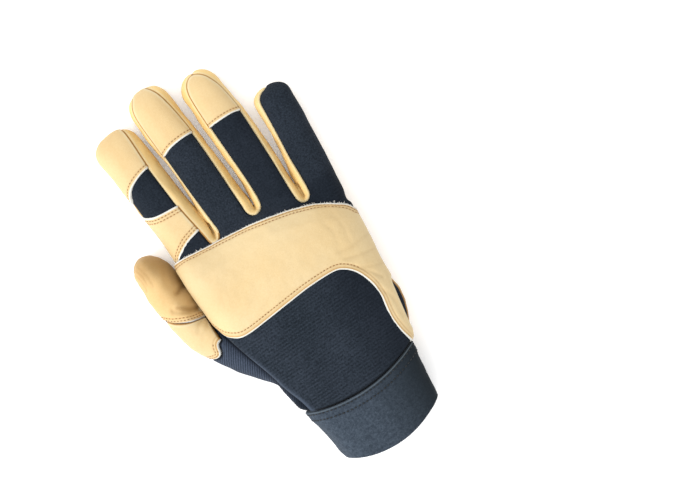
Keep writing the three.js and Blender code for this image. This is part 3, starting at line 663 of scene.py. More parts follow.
# A stitch's six rings: place along its half length, share of its radius, and how far it rises.
ROD_RINGS = ((-1.0, 0.25, -0.75), (-0.82, 0.72, -0.25), (-0.4, 1.0, 0.3),
             (0.4, 1.0, 0.3), (0.82, 0.72, -0.25), (1.0, 0.25, -0.75))
ROD_SIDES = 6
ROD_FLAT = 1.15  # a stitch is a little wider than it is high


def rod_faces(base):
    """A rod's sides in quads, and its two six-sided ends in two quads each."""
    faces = []
    for k in range(len(ROD_RINGS) - 1):
        near = base + ROD_SIDES * k
        far = near + ROD_SIDES
        for r in range(ROD_SIDES):
            s = (r + 1) % ROD_SIDES
            faces.append((near + r, near + s, far + s, far + r))
    end = base + ROD_SIDES * (len(ROD_RINGS) - 1)
    faces += [(base, base + 5, base + 4, base + 3), (base, base + 3, base + 2, base + 1)]
    faces += [(end, end + 1, end + 2, end + 3), (end, end + 3, end + 4, end + 5)]
    return faces


def thread_mesh(name, rods, material):
    """All the stitches of one thread as one mesh."""
    ring = np.arange(ROD_SIDES) * 2 * math.pi / ROD_SIDES
    verts, faces = [], []
    for a, m, b, up, radius, lift in rods:
        half = 0.5 * np.linalg.norm(b - a)
        along = (b - a) / max(2 * half, 1e-9)
        side = unit(np.cross(up, along))
        rise = np.cross(along, side)
        faces += rod_faces(len(verts))
        for share, width, drop in ROD_RINGS:
            c = m + along * half * share + rise * (radius * drop + lift)
            for r in ring:
                verts.append(c + radius * width * (ROD_FLAT * math.cos(r) * side + math.sin(r) * rise))
    obj = new_object(name, np.array(verts), np.array(faces), material)
    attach(obj, "root")


# Materials.
def srgb(r, g, b):
    """The colour that a surface needs to be seen as this one in the studio light."""
    def one(c):
        c /= 255
        return (c / 12.92 if c <= 0.04045 else ((c + 0.055) / 1.055) ** 2.4) / LIGHT
    return (one(r), one(g), one(b), 1.0)


def grey(v):
    return (v, v, v, 1.0)


def scaled(colour, gain):
    return tuple(gain * c for c in colour[:3]) + (1.0,)


class Nodes:
    """A material under construction, with short names for the nodes that it needs."""

    def __init__(self, name):
        self.mat = bpy.data.materials.new(name)
        self.mat.use_nodes = True
        self.tree = self.mat.node_tree
        self.tree.nodes.clear()
        out = self.add("ShaderNodeOutputMaterial")
        self.bsdf = self.add("ShaderNodeBsdfPrincipled")
        self.link(self.bsdf.outputs[0], out.inputs[0])
        self.co = self.add("ShaderNodeTexCoord").outputs["Object"]

    def add(self, kind, **settings):
        node = self.tree.nodes.new(kind)
        for k, v in settings.items():
            setattr(node, k, v)
        return node

    def link(self, a, b):
        self.tree.links.new(a, b)

    def put(self, socket, value):
        if hasattr(value, "is_output"):
            self.link(value, socket)
        else:
            socket.default_value = value

    def shade(self, **sockets):
        """Values or links for the shader, by socket name with _ for a space."""
        for key, value in sockets.items():
            self.put(self.bsdf.inputs[key.replace("_", " ")], value)

    def math(self, op, a, b=0.0, clamp=False):
        n = self.add("ShaderNodeMath", operation=op, use_clamp=clamp)
        self.put(n.inputs[0], a)
        self.put(n.inputs[1], b)
        return n.outputs[0]

    def axes(self, turn=0.0):
        """X, Y and Z, turned about Z."""
        n = self.add("ShaderNodeMapping")
        self.link(self.co, n.inputs["Vector"])
        n.inputs["Rotation"].default_value = (0, 0, turn)
        sep = self.add("ShaderNodeSeparateXYZ")
        self.link(n.outputs[0], sep.inputs[0])
        return sep.outputs

    def noise(self, scale, detail=2.0, rough=0.5, distortion=0.0):
        n = self.add("ShaderNodeTexNoise")
        self.link(self.co, n.inputs["Vector"])
        n.inputs["Scale"].default_value = scale
        n.inputs["Detail"].default_value = detail
        n.inputs["Roughness"].default_value = rough
        n.inputs["Distortion"].default_value = distortion
        return n.outputs[0]

    def ramp(self, fac, *stops):
        """A colour ramp. A stop is a place with a colour, or with a number for a grey."""
        n = self.add("ShaderNodeValToRGB")
        self.link(fac, n.inputs[0])
        el = n.color_ramp.elements
        while len(el) < len(stops):
            el.new(0.5)
        for e, (place, colour) in zip(el, stops):
            e.position = place
            e.color = colour if isinstance(colour, tuple) else grey(colour)
        return n.outputs[0]

    def value(self, name):
        return self.add("ShaderNodeAttribute", attribute_name=name).outputs["Fac"]

    def mix(self, fac, a, b):
        n = self.add("ShaderNodeMix", data_type="RGBA")
        self.put(n.inputs[0], fac)
        self.put(n.inputs[6], a)
        self.put(n.inputs[7], b)
        return n.outputs[2]

    def bump(self, height, distance, strength, before=None):
        n = self.add("ShaderNodeBump")
        n.inputs["Strength"].default_value = strength
        n.inputs["Distance"].default_value = distance
        self.link(height, n.inputs["Height"])
        if before is not None:
            self.link(before, n.inputs["Normal"])
        return n.outputs[0]


def leather(name, light, deep, fold=0.0):
    """Soft grain leather. 'edge' is the distance from a sewn edge and 'raw' from a cut one, in cm."""
    m = Nodes(name)
    base = m.ramp(m.noise(30, 3), (0.34, deep), (0.66, light))
    speck = m.ramp(m.noise(900, 2, 0.6), (0.38, srgb(206, 160, 100)), (0.6, srgb(255, 240, 204)))
    base = m.mix(0.06, base, speck)
    edge = m.value("edge")
    # Painted highlight: a cream band about 1 to 2.5 mm in from a sewn edge, where the rolled edge catches the
    # light.
    rim = m.ramp(edge, (0.08, 0), (0.115, 0.7), (0.16, 0.45), (0.26, 0))
    base = m.mix(rim, base, srgb(255, 240, 196))
    # Painted shade: a brown line in the groove right at a sewn edge.
    base = m.mix(m.ramp(edge, (0.055, 0.85), (0.095, 0)), base, srgb(186, 130, 62))
    # Painted shade in the grooves that the stitch rows pull in.
    base = m.mix(m.ramp(m.value("dent"), (0.15, 0), (0.9, 0.3)), base, srgb(206, 154, 84))
    base = m.mix(m.value("shade"), base, srgb(150, 106, 40))
    raw = m.value("raw")
    fibre = m.math("MULTIPLY", m.math("SUBTRACT", m.noise(900, 3, 0.7), 0.5), 0.03)
    ragged = m.math("ADD", raw, fibre)
    # Painted shadow: a tan line along the fold just inside a cut edge, as strong as fold.
    if fold:
        line = m.ramp(raw, (0.13, 0), (0.16, fold), (0.19, fold), (0.23, 0))
        base = m.mix(line, base, srgb(212, 158, 84))
    base = m.mix(m.ramp(ragged, (0.088, 1), (0.115, 0)), base, srgb(255, 253, 244))
    pores = m.add("ShaderNodeTexVoronoi", feature="DISTANCE_TO_EDGE")
    m.link(m.co, pores.inputs["Vector"])
    pores.inputs["Scale"].default_value = 1150
    relief = m.bump(m.ramp(pores.outputs["Distance"], (0, 0), (0.16, 1)), 0.00006, 0.5)
    relief = m.bump(m.noise(240, 3, 0.6, 0.6), 0.0002, 0.5, relief)
    relief = m.bump(m.noise(55), 0.0006, 0.35, relief)
    m.shade(Base_Color=base, Roughness=m.ramp(m.noise(60), (0.3, 0.5), (0.7, 0.62)),
            Specular_IOR_Level=0.22, Normal=relief)
    return m.mat


COLUMN_PITCH = 1.1  # columns of loops in a knit, in millimetres
LOOP_PITCH = 0.9
KNIT_FADE = 0.062  # the rows of the back fade out before this distance up the hand, in metres


def knit(name, light, deep, pitch=2.0, turn=0.0, depth=0.00025, contrast=0.5, fade=True,
         rib=0.075, grain=0.9):
    """Fine stretch knit: rows of small loops, a little uneven, with the row pitch in millimetres."""
    m = Nodes(name)
    x, y, _ = m.axes(turn)
    turns = 2000 * math.pi
    wob = m.math("MULTIPLY", m.math("SUBTRACT", m.noise(120), 0.5), 2.4)
    row = m.math("SINE", m.math("ADD", m.math("MULTIPLY", y, turns / pitch), wob))
    if fade:
        row = m.math("MULTIPLY", row, m.math("MULTIPLY", m.math("SUBTRACT", KNIT_FADE, y), 30.0, True))
    column = m.math("SINE", m.math("ADD", m.math("MULTIPLY", x, turns / COLUMN_PITCH), wob))
    fine = m.math("SINE", m.math("MULTIPLY", y, turns / LOOP_PITCH))
    weave = m.math("MULTIPLY", m.math("MULTIPLY", column, fine), 0.10)
    loops = m.math("ADD", m.math("MULTIPLY", row, rib), weave)
    loops = m.math("ADD", loops, m.math("MULTIPLY", m.noise(1000, 3, 0.75), grain))
    loops = m.math("ADD", loops, 0.5 - 0.5 * grain, True)
    base = m.ramp(m.noise(34, 3, 0.6), (0.3, deep), (0.7, light))
    base = m.mix(m.ramp(loops, (0.3, contrast), (0.5, 0)), base, scaled(deep, 0.42))
    base = m.mix(m.ramp(loops, (0.5, 0), (0.8, contrast)), base, scaled(light, 1.5))
    # Painted shadow along the knit's edges, where it dips under the leather.
    base = m.mix(m.ramp(m.value("edge"), (0.05, 0.85), (0.16, 0)), base, srgb(12, 16, 22))
    base = m.mix(m.value("shade"), base, srgb(22, 28, 37))
    # Painted highlight on the crest of the back's fold.
    base = m.mix(m.value("painted_highlight"), base, srgb(92, 106, 128))
    m.shade(Base_Color=base, Roughness=0.95, Specular_IOR_Level=0.04, Sheen_Weight=0.03, Sheen_Roughness=0.5,
            Normal=m.bump(loops, depth, 0.8))
    return m.mat


def felt(name, light, deep, turn=None):
    """Napped fabric: mottled, fibrous and matt, with painted shade past the place turn along X, on the side
    that faces away from the light.
    """
    m = Nodes(name)
    mottle = m.noise(620, 4, 0.75, 0.3)
    fine = m.noise(1300, 2, 0.7)
    base = m.ramp(mottle, (0.34, deep), (0.66, light))
    base = m.mix(m.ramp(fine, (0.35, 0.3), (0.6, 0)), base, srgb(26, 33, 42))
    # Painted shade in the grooves that the stitch rows pull in.
    base = m.mix(m.ramp(m.value("dent"), (0.1, 0), (0.9, 0.25)), base, srgb(30, 37, 46))
    if turn:
        # Painted shade: darker past turn along X, towards the side that faces away from the light.
        shaded_side = m.math("MULTIPLY", m.math("SUBTRACT", m.axes()[0], turn), 26.0, True)
        base = m.mix(m.math("MULTIPLY", shaded_side, 0.95), base, srgb(32, 40, 46))
    # Painted highlight along the rolled lip of the cuff's upper edge.
    lip_highlight = m.ramp(m.value("edge"), (0.03, 0), (0.05, 0.5), (0.09, 0.4), (0.13, 0))
    base = m.mix(lip_highlight, base, srgb(122, 134, 142))
    m.shade(Base_Color=base, Roughness=0.97, Specular_IOR_Level=0.04, Sheen_Weight=0.04, Sheen_Roughness=0.6,
            Normal=m.bump(fine, 0.00022, 0.7, m.bump(mottle, 0.00035, 0.6)))
    return m.mat


def thread(name, light, deep):
    """Twisted thread."""
    m = Nodes(name)
    ply = m.add("ShaderNodeTexWave", wave_type="BANDS", bands_direction="DIAGONAL")
    m.link(m.co, ply.inputs["Vector"])
    ply.inputs["Scale"].default_value = 1400
    m.shade(Base_Color=m.ramp(m.noise(500), (0.35, deep), (0.65, light)), Roughness=0.7,
            Normal=m.bump(ply.outputs["Fac"], 0.00008, 0.8))
    return m.mat


LEATHER = leather("golden_grain_leather", srgb(252, 222, 167), srgb(249, 214, 154))
LEATHER_STRAP = leather("smooth_strap_leather", srgb(254, 228, 177), srgb(252, 221, 164), fold=0.75)
# A lighter, more saturated copy of the leather: painted light on the strips, which face sideways and would
# otherwise fall darker.
LIT_STRIP_LEATHER = leather("strip_leather_painted_light", srgb(280, 242, 168), srgb(270, 226, 142))
LEATHER_PALM = leather("palm_grain_leather", srgb(244, 212, 156), srgb(234, 199, 138))
LEATHER_THUMB = leather("thumb_grain_leather", srgb(252, 216, 156), srgb(246, 205, 140))
KNIT = knit("navy_stretch_knit", srgb(56, 64, 75), srgb(43, 51, 60), contrast=0.7, grain=1.4)
RIB = knit("ribbed_stretch_knit", srgb(75, 85, 102), srgb(55, 64, 78), pitch=1.4, turn=-0.977, depth=0.0006,
           contrast=0.65, fade=False, rib=0.22)
# Its turn sets where the cuff's painted shade begins, towards the little-finger side.
CUFF = felt("napped_cuff_fabric", srgb(86, 98, 112), srgb(58, 68, 80), turn=0.004)
TAB = felt("loop_tab_fabric", srgb(60, 68, 76), srgb(40, 47, 55))
THREAD = thread("tan_thread", srgb(204, 152, 94), srgb(158, 108, 58))
THREAD_PALM = thread("brown_thread", srgb(176, 112, 62), srgb(128, 74, 38))
THREAD_DARK = thread("dark_thread", srgb(26, 30, 36), srgb(14, 17, 22))
FIBRE = thread("cut_leather_fibre", srgb(255, 252, 244), srgb(248, 240, 226))


# Base surface and the fields that part its panels.
FIELD = body_field()
VERTS, TRIS = surface_net(FIELD)
EDGES = edges_of(TRIS)
GRADIENT = np.gradient(FIELD, GRID)
for _ in range(3):
    VERTS = relax(VERTS, EDGES, 2)
    for _ in range(2):
        level = sample(FIELD, VERTS)
        climb = np.stack([sample(q, VERTS) for q in GRADIENT], 1)
        VERTS = VERTS - climb * (level / np.maximum((climb * climb).sum(1), 0.05))[:, None]
VERTS = relax(VERTS, EDGES, 1, 0.3)
NORMALS = relax(normals_of(VERTS, TRIS), EDGES, 2)
NORMALS /= np.linalg.norm(NORMALS, axis=1, keepdims=True)

X, Y, Z = VERTS.T


def field_on_skin(values):
    """A field turned into distance along the surface."""
    slope = relax(slope_of(VERTS, TRIS, values), EDGES, 3)
    return values / np.clip(slope, 0.3, 4)


def side_seam_z(x, y):
    """Height of the seam between the back and the sides, higher along the outside of the index finger."""
    index = smoothstep(-36, -43, x) * np.interp(y, [40, 70, 100, 112], [0, 6.4, 6.4, 0])
    return np.interp(y, [14, 50, 90], [17.5, 9.5, 6.4]) + index


# The back's outline: up the fold, round each finger and its fork, and down past the little finger.
outline = [smooth_curve(FOLD, 6), [(-47.2, 20), (-47.2, 73.6), (-64, 75)]]
for name, notch in zip(STRIPS, U_NOTCHES + [None]):
    outline.append(smooth_curve([finger_xy(FINGERS[name], s, t) for s, t in STRIPS[name]], 5))
    if notch is not None:
        outline.append(smooth_curve(notch, 5))
back_ring = np.concatenate(outline + [[(90, 40), (90, -90), (-25, -90)]])

wrist = Y - (WRIST_Y + CUFF_BOW * ((X - CENTRE_X) / WRIST_HALF) ** 2)
back_plan = area_distance(X, Y, back_ring)
back = np.minimum(back_plan, Z - side_seam_z(X, Y))

# The strips between the fingers, each round one fork and up both its fingers.
fork_fields = {}
names = list(FINGERS)
for a, b in zip(names[:-1], names[1:]):
    fa, fb = FINGERS[a], FINGERS[b]
    ring = [finger_xy(fa, -12, 0), finger_xy(fa, fa["length"] + 2, 0), finger_xy(fa, fa["length"] + 2, 16),
            finger_xy(fb, fb["length"] + 2, -16), finger_xy(fb, fb["length"] + 2, 0), finger_xy(fb, -12, 0)]
    if a == "ring":  # the little finger is much shorter, so this strip ends on a slant
        ring[3] = finger_xy(fb, fb["length"] + 6, -8)
        ring[2] = finger_xy(fa, fa["length"] + 2, 15)
    sa, _ = finger_st(fa, X, Y)
    sb, tb = finger_st(fb, X, Y)
    own = np.where(tb > -16.5, sb - fb["length"], sa - fa["length"])
    low = 4.2 + 2.2 * smoothstep(-24, -6, own)
    fork_fields[a + "_" + b] = np.minimum(np.minimum(area_distance(X, Y, ring), Z - low), -back)

# The thumb's leather, the ribbed strip beside it, and the palm, which takes what is left.
thumb_hem = smooth_curve(THUMB_HEM, 6)
thumb_seam = smooth_curve(THUMB_SEAM, 6)
hem_side = line_distance(X, Y, thumb_hem)
seam_side = line_distance(X, Y, thumb_seam)
thumb_seam_z = THUMB_SEAM_Z - 9.5 * np.maximum(smoothstep(-64, -54, X), smoothstep(54, 66, Y))
thumb_top = np.minimum(np.minimum(hem_side, Z - thumb_seam_z), np.minimum(-back, STRAP_END_X - X))
under_side = line_distance(X, Y, smooth_curve(STRIP_UNDER, 6))
over_side = np.minimum(-back_plan, STRAP_END_X - X + np.where(Y < 12, np.clip(14 - Y, 0, 60), 0))
blend_z = smoothstep(10, 16, Z)
strip = np.minimum(np.minimum(-thumb_top, -back), under_side * (1 - blend_z) + over_side * blend_z)
palm = np.minimum(-back, np.minimum(-thumb_top, -strip))
for f in fork_fields.values():
    palm = np.minimum(palm, -f)

BASE = Skin(VERTS, TRIS, {"n": NORMALS, "wrist": wrist})


def roll(e, reach, depth):
    """How a sewn edge rounds down within its reach."""
    t = np.clip(1 - e / reach, 0, 1)
    return -depth * (1 - np.sqrt(np.clip(1 - t * t, 0, 1)))


def groove(value, row, width):
    """1 along a row of stitches, fading to both sides."""
    return np.exp(-(((value - row) / width) ** 2))


def build_piece(name, node, slot, material, field, raw=None, layer=0.0, thick=SHELL, puff=0.5, reach=4.0,
                roll_in=(1.3, 0.95), extra=None, rows=(), row_name="edge", gap=0.14, no_under=True,
                hem_lift=0.0, raw_gain=None, edge_gain=None, shade=None, painted_highlight=None):
    """Cut a panel out of the base surface, shape its edges and close it into a thin solid.

    field is positive inside the panel. raw is a second field for cut edges, which are not rolled in.
    layer lifts a panel that lies on others, and hem_lift its cut edge. rows are the levels along which
    stitches pull the surface in.
    """
    skin = BASE.copy()
    skin.a["edge"] = field
    if raw is not None:
        skin.a["raw"] = raw
        skin.above("raw", RAW_GAP)
    skin.above("edge", gap)
    skin.above("wrist", WRIST_GAP)
    for level in RINGS:
        skin.split("edge", gap + level)
        if raw is not None:
            skin.split("raw", level)
    for level in rows:
        for o in (-0.6, 0.0, 0.6):
            skin.split(row_name, level + o)
    for level in (0.7, 1.4):
        skin.split("wrist", level)
    e = np.minimum(skin.a["edge"] - gap, skin.a["wrist"] - WRIST_GAP)
    p, n = skin.v, skin.a["n"] / np.linalg.norm(skin.a["n"], axis=1, keepdims=True)
    free = smoothstep(2.2, 6.0, p[:, 2]) if no_under else np.ones(len(p))
    off = layer + roll(e, *roll_in) * np.maximum(free, 0.35)
    off += puff * (1 - np.exp(-np.clip(e, 0, None) / reach)) * free
    dent = np.zeros(len(p))
    for level in rows:
        dent = np.maximum(dent, groove(skin.a[row_name], level, STITCH_WIDTH))
    off -= STITCH_DENT * dent
    raw_cm = np.ones(len(p))
    if raw is not None:
        r = skin.a["raw"] - RAW_GAP
        off -= HEM_THIN * np.clip(1 - r / HEM_WIDTH, 0, 1) ** 1.5
        off += hem_lift * np.exp(-np.clip(r, 0, None) / 4) * smoothstep(0, 2.5, e)
        raw_cm = np.clip(r / 10, 0, 1) * (1 if raw_gain is None else raw_gain(p))
    if extra is not None:
        off += extra(p, e) * free
    on_others = layer > 0.5
    out = p + n * off[:, None]
    out[:, 2] = np.maximum(out[:, 2], FLOOR_GAP if on_others else 0.0)
    inner_off = np.minimum(off, layer + 0.1 if on_others else 0.3) - thick
    inn = p + n * inner_off[:, None]
    inn[:, 2] = np.maximum(inn[:, 2], 0.6 if on_others else 0.9)
    edge_cm = np.clip(e / 10, 0, 1)
    if edge_gain is not None:
        edge_cm = edge_gain(p, edge_cm)
    values = {
        "edge": (edge_cm, 0.5),
        "raw": (raw_cm, np.where(raw_cm < 0.02, 0.0, 1.0)),
        "dent": (dent, 0.0),
        "painted_highlight": (0.0 if painted_highlight is None else painted_highlight(p), 0.0),
        "shade": (0.0 if shade is None else shade(p), 0.0),
    }
    return close_panel(name, node, material, skin, out, inn, values)


LEATHER_RODS, PALM_RODS = [], []


def on_top(p):
    """Whether a stitch lies on the back's side."""
    return p[2] > TOP_SIDE


strap_ring = np.concatenate([
    [(-60, 56.9)], smooth_curve(STRAP_FRONT, 6), [(90, 10), (90, -75), (47, -66)],
    smooth_curve(STRAP_REAR, 6), [(-60, 22)],
])


def under_hem(x, y, finger, hem):
    """Distance behind a hem line that crosses one finger."""
    _, t = finger_st(FINGERS[finger], x, y)
    return np.where(np.abs(t) < 18, -line_distance(x, y, smooth_curve(hem, 6)), -9)


# Knit back.
def covered(p):
    """How far a point lies under the strap, the caps or the index patch, from 0 to 1."""
    x, y = p[:, 0], p[:, 1]
    deep = area_distance(x, y, strap_ring)
    for name, hem in CAP_HEMS.items():
        deep = np.maximum(deep, under_hem(x, y, name, hem))
    s, _ = finger_st(FINGERS["index"], x, y)
    patch = np.minimum(under_hem(x, y, "index", INDEX_FRONT), under_hem(x, y, "index", INDEX_REAR))
    deep = np.maximum(deep, np.where((s > 2) & (s < 60), patch, -9))
    return smoothstep(0.2, 1.4, deep)


def under_caps(p):
    """1 where a point lies beside a fingertip cap or the index patch."""
    x, y = p[:, 0], p[:, 1]
    near = np.zeros(len(p))
    for name, hem in CAP_HEMS.items():
        near = np.maximum(near, smoothstep(-0.3, 0.3, under_hem(x, y, name, hem)))
    s, _ = finger_st(FINGERS["index"], x, y)
    patch = smoothstep(-0.3, 0.3, under_hem(x, y, "index", INDEX_FRONT))
    return np.maximum(near, np.where(s < 60, patch, 0))


BACK_CREASES = (
    ([(20, -8), (26, -30), (30, -52)], 5, 0.5),
    ([(-30, -20), (-22, -44), (-20, -64)], 4, 0.45),
    ([(0, -58), (18, -62), (38, -56)], 2.6, 0.5),
)


def back_folds(p, e):
    x, y = p[:, 0], p[:, 1]
    s = 0.35 * waves(p, 30, 11) + 0.12 * waves(p, 9, 12) + creases(x, y, BACK_CREASES)
    fold = area_distance(x, y, back_ring)
    s += 1.5 * np.exp(-(((fold - 3.0) / 2.4) ** 2)) * smoothstep(6, -6, y) * smoothstep(-16, -24, x)
    under = covered(p)
    return s * smoothstep(0.5, 5, e) * (1 - under) - under * 1.3


def fold_highlight(p):
    """The crest of the fold beside the ribbed strip catches the light."""
    x, y = p[:, 0], p[:, 1]
    fold = area_distance(x, y, back_ring)
    return 0.42 * np.exp(-(((fold - 1.9) / 1.3) ** 2)) * smoothstep(-6, -22, y) * smoothstep(-16, -24, x)


def back_shade(p):
    """Painted shade: darker towards the little-finger side, away from the light, and a painted share of its
    own for each finger.
    """
    x, y = p[:, 0], p[:, 1]
    hand = 0.1 * smoothstep(-24, 2, x) + 0.56 * smoothstep(5, 52, x)
    fingers = np.interp(x, [-20, -14, 9, 15, 38, 50], [0.46, 0.18, 0.18, 0.52, 0.52, 0.24])
    return hand + (fingers - hand) * smoothstep(44, 60, y)


build_piece("back_knit", "back_panel", "navy_knit", KNIT, field_on_skin(back), puff=0.9, reach=3.0,
            extra=back_folds, roll_in=(1.5, 1.1), shade=back_shade, painted_highlight=fold_highlight)


# Leather strips between the fingers.
SLITS = (
    ([(-16.2, 55.6), (-15.4, 61), (-14.9, 65)], 0.7, 1.0),
    ([(13.3, 56.8), (13.8, 60), (14, 63)], 0.7, 1.0),
    ([(41.8, 46.8), (42.3, 51), (42.6, 55)], 0.7, 1.0),
)


def slit_depth(p):
    """How deep a strip is folded in at the end of its fork."""
    return -creases(p[:, 0], p[:, 1], SLITS)


def leather_folds(p, e):
    return (0.25 * waves(p, 22, 21) + 0.12 * waves(p, 8, 22)) * smoothstep(0.3, 3, e) - 1.1 * slit_depth(p)


# Painted shade on the index finger's side of its strip, and in the slit at the end of each fork.
def leather_shade(p):
    s, t = finger_st(FINGERS["index"], p[:, 0], p[:, 1])
    side = 0.1 * smoothstep(16.5, 14.5, t) * smoothstep(10, 24, s)
    return np.maximum(side, 0.35 * slit_depth(p))


def strip_edge(p, edge):
    """The painted shade of a strip's seam shows only beside the caps; elsewhere its painted rim highlight
    moves up to the edge.
    """
    return np.where(under_caps(p) > 0.5, edge, edge + 0.1)


for key, f in fork_fields.items():
    build_piece("strip_" + key, "side_strip_" + key, "grain_leather", LIT_STRIP_LEATHER, field_on_skin(f),
                puff=0.5, reach=1.0, extra=leather_folds, roll_in=(0.9, 0.6), gap=-0.15, edge_gain=strip_edge,
                shade=leather_shade)


# Thumb.
TIP_WRINKLES = (
    ([(-68, 65), (-66.4, 59), (-66.8, 52)], 0.7, 0.45),
    ([(-66.6, 67), (-64.6, 61), (-65, 54)], 0.7, 0.4),
    ([(-64, 66.5), (-62.4, 60), (-62.6, 52)], 0.8, 0.3),
    ([(-69.4, 60), (-68.2, 55), (-68.4, 49)], 0.6, 0.3),
)
THUMB_CREASES = TIP_WRINKLES + (
    ([(-45, 42.0), (-49, 42.6), (-53.6, 41.2)], 1.8, 1.5),
    ([(-45, 25.0), (-51, 27.0), (-56.5, 29.8), (-61, 33.6)], 1.5, 1.7),
    ([(-47, 38), (-52, 33.6), (-56.5, 32.6)], 2.2, -0.7),
    ([(-50, 60), (-54, 50), (-58, 42), (-63, 36)], 4.0, 0.5),
    ([(-50, 19.6), (-53, 17.6), (-55.4, 14.6)], 1.2, 0.45),
    ([(-49, 14), (-52, 12.6), (-54.6, 10)], 1.2, 0.4),
)
# Painted shade along the two creases that run out of the hollow: plan line, width and strength.
THUMB_DARK_CREASES = (
    ([(-46, 42.6), (-49.6, 42.8), (-53.2, 40.8)], 1.15, 0.5),
    ([(-46, 27.0), (-51, 28.2), (-55, 30.6), (-58.4, 33.6)], 1.15, 0.6),
)


def thumb_folds(p, e):
    s = 0.35 * waves(p, 24, 31) + 0.1 * waves(p, 7, 32) + creases(p[:, 0], p[:, 1], THUMB_CREASES)
    return s * smoothstep(0.2, 2.0, e)


def thumb_shade(p):
    """Painted shade in the hollow beside the strap, in the two creases that run out of it, at the tip and
    along the tip's wrinkles.
    """
    x, y = p[:, 0], p[:, 1]
    deep = np.interp(y, [22, 30, 38, 46, 54, 64], [0.05, 0.12, 0.2, 0.85, 0.5, 0.35])
    out = deep * smoothstep(-55.5, -48, x)
    for line, width, depth in THUMB_DARK_CREASES:
        out = np.maximum(out, -crease(x, y, line, width, depth))
    tip = 0.42 * smoothstep(50, 63, y) * smoothstep(-71, -63, x)
    return np.maximum(out * smoothstep(20, 25, y), tip) - creases(x, y, TIP_WRINKLES, 0.7, 0.5)


upper = field_on_skin(np.minimum(thumb_top, seam_side))
lower = field_on_skin(np.minimum(thumb_top, -seam_side))
skin = build_piece("thumb_upper", "thumb_leather_upper", "grain_leather", LEATHER_THUMB, upper,
                   raw=field_on_skin(seam_side), puff=0.9, reach=2.2, extra=thumb_folds, layer=0.35,
                   rows=(1.7, 3.3), row_name="raw", raw_gain=lambda p: 1.5, shade=thumb_shade)
LEATHER_RODS += thread_rows(skin, "raw", (1.7, 3.3), where=on_top)
skin = build_piece("thumb_lower", "thumb_leather_lower", "grain_leather", LEATHER_STRAP, lower,
                   raw=field_on_skin(hem_side), puff=0.8, reach=2.2, extra=thumb_folds,
                   rows=(1.7, 3.5), row_name="raw", shade=lambda p: 0.13)
LEATHER_RODS += thread_rows(skin, "raw", (1.7, 3.5), where=lambda p: on_top(p) and p[0] < -52)


def strip_folds(p, e):
    tucked = 1.3 * np.exp(-((e / 2.4) ** 2)) * smoothstep(12, 18, p[:, 2])
    return 0.4 * waves(p, 18, 41) * smoothstep(0.5, 4, e) - tucked


def strip_shade(p):
    """Painted shade under the back's fold and by the cuff."""
    fold = -area_distance(p[:, 0], p[:, 1], back_ring)
    near = 0.85 * np.exp(-((np.clip(fold, 0, None) / 1.7) ** 2))
    return np.maximum(near, 0.8 * smoothstep(-45, -53, p[:, 1])) * smoothstep(6, 12, p[:, 2])


build_piece("thumb_rib_strip", "thumb_knit_strip", "rib_knit", RIB, field_on_skin(strip), puff=0.5, reach=2.0,
            extra=strip_folds, shade=strip_shade)


# Palm.
def palm_folds(p, e):
    return (0.3 * waves(p, 26, 51) + 0.12 * waves(p, 8, 52)) * smoothstep(0.3, 3, e)


palm_edge = field_on_skin(palm)
skin = build_piece("palm_skin", "palm_leather", "grain_leather", LEATHER_PALM, palm_edge, puff=0.55,
                   reach=1.8, extra=palm_folds, rows=(1.7,))
PALM_RODS += thread_rows(skin, "edge", (1.7,), pitch=2.5,
                         where=lambda p: p[2] < 6.5 and (p[1] > 47 or p[0] < -46))


# Pieces laid over the back.
def overlay_folds(p, e):
    return (0.16 * waves(p, 30, 61) + 0.07 * waves(p, 9, 62)) * smoothstep(0.3, 3, e)


OVERLAY = dict(layer=0.45, thick=0.9, puff=0.35, reach=1.6, extra=overlay_folds, row_name="raw",
               roll_in=(0.9, 0.55), gap=-0.3, hem_lift=0.7)
back_edge = field_on_skin(back)
for name, hem in CAP_HEMS.items():
    s, t = finger_st(FINGERS[name], X, Y)
    behind = -line_distance(X, Y, smooth_curve(hem, 6))
    across = np.minimum(17.5 + t, 17.5 - t)
    zone = np.minimum(behind, across)
    zone = np.minimum(back_edge, np.minimum(zone + 30, zone * 10))
    skin = build_piece("cap_" + name, "tip_cap_" + name, "grain_leather", LEATHER, zone,
                       raw=field_on_skin(behind), rows=(2.6,), **OVERLAY)
    LEATHER_RODS += thread_rows(skin, "raw", (2.6,), where=on_top)

strap_raw = field_on_skin(area_distance(X, Y, strap_ring))
s, t = finger_st(FINGERS["index"], X, Y)
front = line_distance(X, Y, smooth_curve(INDEX_FRONT, 6))
rear = line_distance(X, Y, smooth_curve(INDEX_REAR, 6))
zone = np.minimum(back_edge, 10 * np.minimum(16 - t, np.minimum(s - 3, 60 - s)))
skin = build_piece("index_base", "index_patch", "grain_leather", LEATHER, np.minimum(zone, -strap_raw),
                   raw=field_on_skin(np.minimum(-front, -rear)), rows=(2.2, 4.0), **OVERLAY)
LEATHER_RODS += thread_rows(skin, "raw", (2.2, 4.0), where=on_top)

TAIL_CREASES = (
    ([(41, 2), (49, -0.5), (58, -2.4)], 1.3, 0.5),
    ([(43, -4), (48, -11), (53, -19)], 1.2, 0.45),
    ([(41, 7), (50, 6), (60, 7)], 1.8, 0.4),
    ([(47, -8), (53, -11), (58, -13)], 1.2, 0.4),
    ([(48, -24), (51.5, -33), (50.5, -45)], 1.5, 0.45),
)
STRAP_CREASES = TAIL_CREASES + (
    ([(42, 27), (44, 20), (43, 13)], 1.6, 0.22),
    ([(49, 27), (51, 19), (49, 11)], 1.6, 0.25),
    ([(-30, 4), (-22, 9), (-12, 11)], 2.6, 0.3),
    ([(-18, 3), (-6, 7), (6, 7)], 2.2, 0.25),
    ([(10, 8), (22, 6), (34, 9)], 3.0, 0.28),
    ([(-42, 44), (-38, 30), (-41, 16)], 3.0, 0.3),
)


